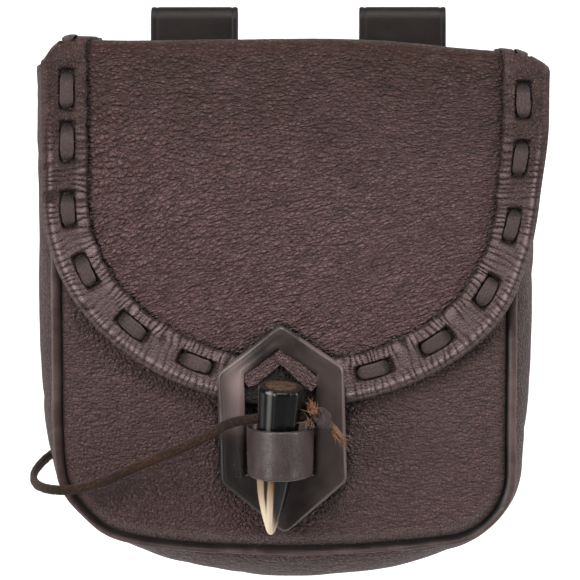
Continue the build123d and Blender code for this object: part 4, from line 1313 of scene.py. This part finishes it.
def knot_line(centre, axis, side, size, turns=2.0, points=90):
    """A trefoil-like line round an axis, for a thong tied in an overhand knot."""
    third = np.cross(axis, side)
    t = np.linspace(0.05, 0.95, points) * 2 * math.pi
    loop = np.sin(t)[:, None] * side * 0.62 + np.sin(2 * t)[:, None] * side * 0.55
    loop += (np.cos(t) - 2 * np.cos(2 * t))[:, None] * third * 0.36
    loop += (-np.sin(3 * t))[:, None] * axis * 0.55
    return centre + loop * size


def strands(name, root, way, count, length, spread, radius, material, seed):
    """A tuft of thin frayed fibres."""
    random = np.random.default_rng(seed)
    made = []
    for k in range(count):
        aim = way + spread * random.normal(size=3)
        aim /= np.linalg.norm(aim)
        curl = random.normal(size=3) * 0.5
        long = length * random.uniform(0.45, 1.0)
        t = np.linspace(0, 1, 7)[:, None]
        line = root + random.normal(size=3) * 0.7 + aim * long * t + curl * long * 0.5 * t**2
        hints = np.tile(np.cross(aim, (0.3, 0.2, 0.9)), (7, 1))
        _, face, across = frames_along(line, hints)
        turn = np.linspace(0, 2 * math.pi, 6, endpoint=False)
        thin = radius * (1 - 0.75 * t)
        rings = line[:, None] + across[:, None] * (np.cos(turn) * thin)[..., None] + face[:, None] * (np.sin(turn) * thin)[..., None]
        flat = np.stack([t * long + 0 * turn + k * 3, turn + 0 * t], axis=-1)
        made.append(tube_piece(f"{name}_{k}", rings, flat, material))
    return made


def anchor_knot():
    low, high = span("anchor_knot")
    centre = (low + high) / 2
    line = knot_line(centre + (0, 0.6, 0), np.array([0, -1.0, 0]), np.array([1.0, 0, 0]), 2.7)
    hints = line - centre
    knot = ribbon("anchor_tie", line, hints, 3.4, 2.4, THONG, "pouch", seed=111)
    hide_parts("anchor_knot")


def toggle_knot():
    """Overhand knot beside the horn, with a rough cut flap, an orange tuft and a wisp of frayed fibres."""
    low, high = span("toggle_knot")
    centre = (low + high) / 2
    tie = knot_line(centre, HORN_RIGHT, HORN_UP, 2.6)
    body = ribbon("knot_tie", tie, tie - centre, 3.4, 2.6, THONG, seed=113, fuzz=0.2)
    flap_line = np.linspace(centre + (0.5, -1.5, 3.0), centre + (6.2, -0.5, -3.6), 24)
    flap = ribbon("knot_flap", flap_line, np.tile((0.5, -1.0, 0.35), (24, 1)), 6.4, 3.0, LACE, seed=115, fuzz=0.25, taper=lambda t: 0.55 + 0.6 * np.sin(np.clip(t * 1.15, 0, 1) * math.pi) ** 0.6)
    tuft = strands("tuft", centre + (0.2, -2.2, 2.6), np.array([-0.25, -0.45, 0.9]), 46, 5.4, 0.45, 0.3, FIBRE, 7)
    tuft += strands("fluff", centre + (-1.5, -2.4, -1.0), np.array([-0.6, -0.6, -0.4]), 26, 4.0, 0.5, 0.24, TAIL, 8)
    knot = joined("toggle_tie", [body, flap, *tuft], "toggle")
    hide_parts("toggle_knot")
    return knot


def frayed_tail():
    low, high = span("thong_end")
    start = np.array([low[0] + 3.6, (low[1] + high[1]) / 2 - 1.4, high[2] + 2.2])
    end = np.array([high[0] + 1.8, (low[1] + high[1]) / 2, low[2] + 5.4])
    t = np.linspace(0, 1, 40)[:, None]
    line = start + (end - start) * t + np.array([0.8, -0.6, 0.6]) * np.sin(t * math.pi)
    core = ribbon("tail_core", line, np.tile((0.2, -1.0, 0.2), (40, 1)), 2.8, 1.6, TAIL, seed=117, fuzz=0.35, taper=lambda u: 1 - 0.6 * u)
    way = (end - start) / np.linalg.norm(end - start)
    hairs = strands("tail_end", end - way * 3, way, 16, 6.0, 0.16, 0.22, TAIL, 9)
    hairs += strands("tail_side", start + way * 6, way, 14, 5.0, 0.3, 0.16, FIBRE, 10)
    tail = joined("thong_tail", [core, *hairs], "toggle")
    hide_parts("thong_end")
    return tail


def tether():
    line = spline_line(THONG_ROUTE)
    mm = line / MM
    # The flat side faces away from the pouch: back, then left, then front.
    hints = np.stack([np.clip((-mm[:, 0] - 88) / 14, 0, 1) * -1.0, np.clip(mm[:, 1] / 30 + 1, -1, 1), 0 * mm[:, 0]], axis=-1)
    hints[:, 1] = np.where(mm[:, 1] < -30, -1.0, 1.0) * (1 - 0.85 * np.clip((-mm[:, 0] - 90) / 12, 0, 1))
    hints[mm[:, 1] < -60, 2] = 0.25
    start = mm[:, 1] > -8.5
    lead = np.cumsum(np.concatenate([[0], np.linalg.norm(np.diff(mm, axis=0), axis=1)])) < 5
    hints[lead & start] = (1.0, 0.2, 0.4)
    kernel = np.ones(15) / 15
    hints = np.stack([np.convolve(np.pad(hints[:, k], 7, mode="edge"), kernel, mode="valid") for k in range(3)], axis=-1)
    thong = ribbon("thong", mm, hints, THONG_WIDTH, THONG_THICK, THONG, seed=119)
    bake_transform(thong)
    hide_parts("tether")


anchor_knot()
knot = toggle_knot()
tail = frayed_tail()
tether()

for node in ("belt_loop_stitches_left", "belt_loop_stitches_right", "keeper_stitches"):
    for material_slot in frame["nodes"][node].material_slots:
        material_slot.material = THREAD

# ---------------------------------------------------------------------------------------------
# Floor, light and camera
# ---------------------------------------------------------------------------------------------


def stage():
    """White floor that curves up into a white backdrop."""
    low = cad_low[2] - 0.40  # the pouch hangs from its belt, well above the floor
    back, bend, wide = 1.8, 0.5, 3.0
    arc = np.linspace(0, math.pi / 2, 24)
    profile = [(-2.5, low), (-0.2, low), (0.05, low), (back - bend, low)]
    profile += [(back - bend + bend * math.sin(a), low + bend * (1 - math.cos(a))) for a in arc[1:]]
    profile += [(back, low + 2.5)]
    points = [(x, y, z) for y, z in profile for x in (-wide, wide)]
    mesh = bpy.data.meshes.new("sweep")
    mesh.from_pydata(points, [], grid_faces(len(profile), 2).tolist())
    mesh.polygons.foreach_set("use_smooth", np.ones(len(mesh.polygons), bool))
    material = bpy.data.materials.new("paper")
    material.use_nodes = True
    shader = material.node_tree.nodes["Principled BSDF"]
    shader.inputs["Base Color"].default_value = (0.8, 0.8, 0.8, 1)
    shader.inputs["Roughness"].default_value = 0.9
    shader.inputs["Emission Color"].default_value = (1, 1, 1, 1)
    # The backdrop and the floor behind the pouch glow, and the floor in front of it only catches light.
    tree = material.node_tree
    place = tree.nodes.new("ShaderNodeTexCoord").outputs["Object"]
    split = tree.nodes.new("ShaderNodeSeparateXYZ")
    fade = tree.nodes.new("ShaderNodeMapRange")
    fade.inputs[1].default_value, fade.inputs[2].default_value = -0.16, -0.02
    fade.inputs[3].default_value, fade.inputs[4].default_value = 0.0, 0.85
    tree.links.new(place, split.inputs[0])
    tree.links.new(split.outputs[1], fade.inputs[0])
    tree.links.new(fade.outputs[0], shader.inputs["Emission Strength"])
    mesh.materials.append(material)
    sweep = bpy.data.objects.new("sweep", mesh)
    bpy.context.scene.collection.objects.link(sweep)


def area_light(name, left_deg, up_deg, distance, size, power):
    """Soft box aimed at the pouch from so many degrees to the left of the front and above it."""
    light = bpy.data.lights.new(name, "AREA")
    light.shape = "RECTANGLE"
    light.size, light.size_y = size
    light.energy = power
    light.spread = math.radians(75)
    lamp = bpy.data.objects.new(name, light)
    bpy.context.scene.collection.objects.link(lamp)
    left, up = math.radians(left_deg), math.radians(up_deg)
    way = Vector((-math.sin(left) * math.cos(up), -math.cos(left) * math.cos(up), math.sin(up)))
    lamp.location = Vector((0, -0.05, -0.08)) + way * distance
    lamp.rotation_euler = (-way).to_track_quat("-Z", "Y").to_euler()


def camera():
    """Long lens, level with the flap's lower half and a little above it, slightly from the right."""
    azimuth, elevation, distance = math.radians(1.5), math.radians(5.5), 0.95
    view_width = 0.232  # at the front of the pouch
    aim = Vector((0.0012, -0.067, -0.080))
    back = Vector((math.sin(azimuth) * math.cos(elevation), -math.cos(azimuth) * math.cos(elevation), math.sin(elevation)))
    data = bpy.data.cameras.new("camera")
    data.sensor_width = 36
    data.lens = data.sensor_width * distance / view_width
    seen = bpy.data.objects.new("camera", data)
    bpy.context.scene.collection.objects.link(seen)
    seen.location = aim + back * distance
    seen.rotation_euler = (-back).to_track_quat("-Z", "Y").to_euler()
    bpy.context.scene.camera = seen


def surroundings():
    world = bpy.data.worlds.new("studio")
    world.use_nodes = True
    world.node_tree.nodes["Background"].inputs[0].default_value = (1, 1, 1, 1)
    world.node_tree.nodes["Background"].inputs[1].default_value = 0.12
    bpy.context.scene.world = world
    bpy.context.scene.view_settings.view_transform = "Standard"


stage()
surroundings()
area_light("key", 50, 14, 1.3, (0.55, 1.5), 4.7)
area_light("top", -8, 60, 1.1, (0.8, 0.4), 2.3)
area_light("side", -70, 14, 1.2, (0.25, 0.9), 1.9)
camera()
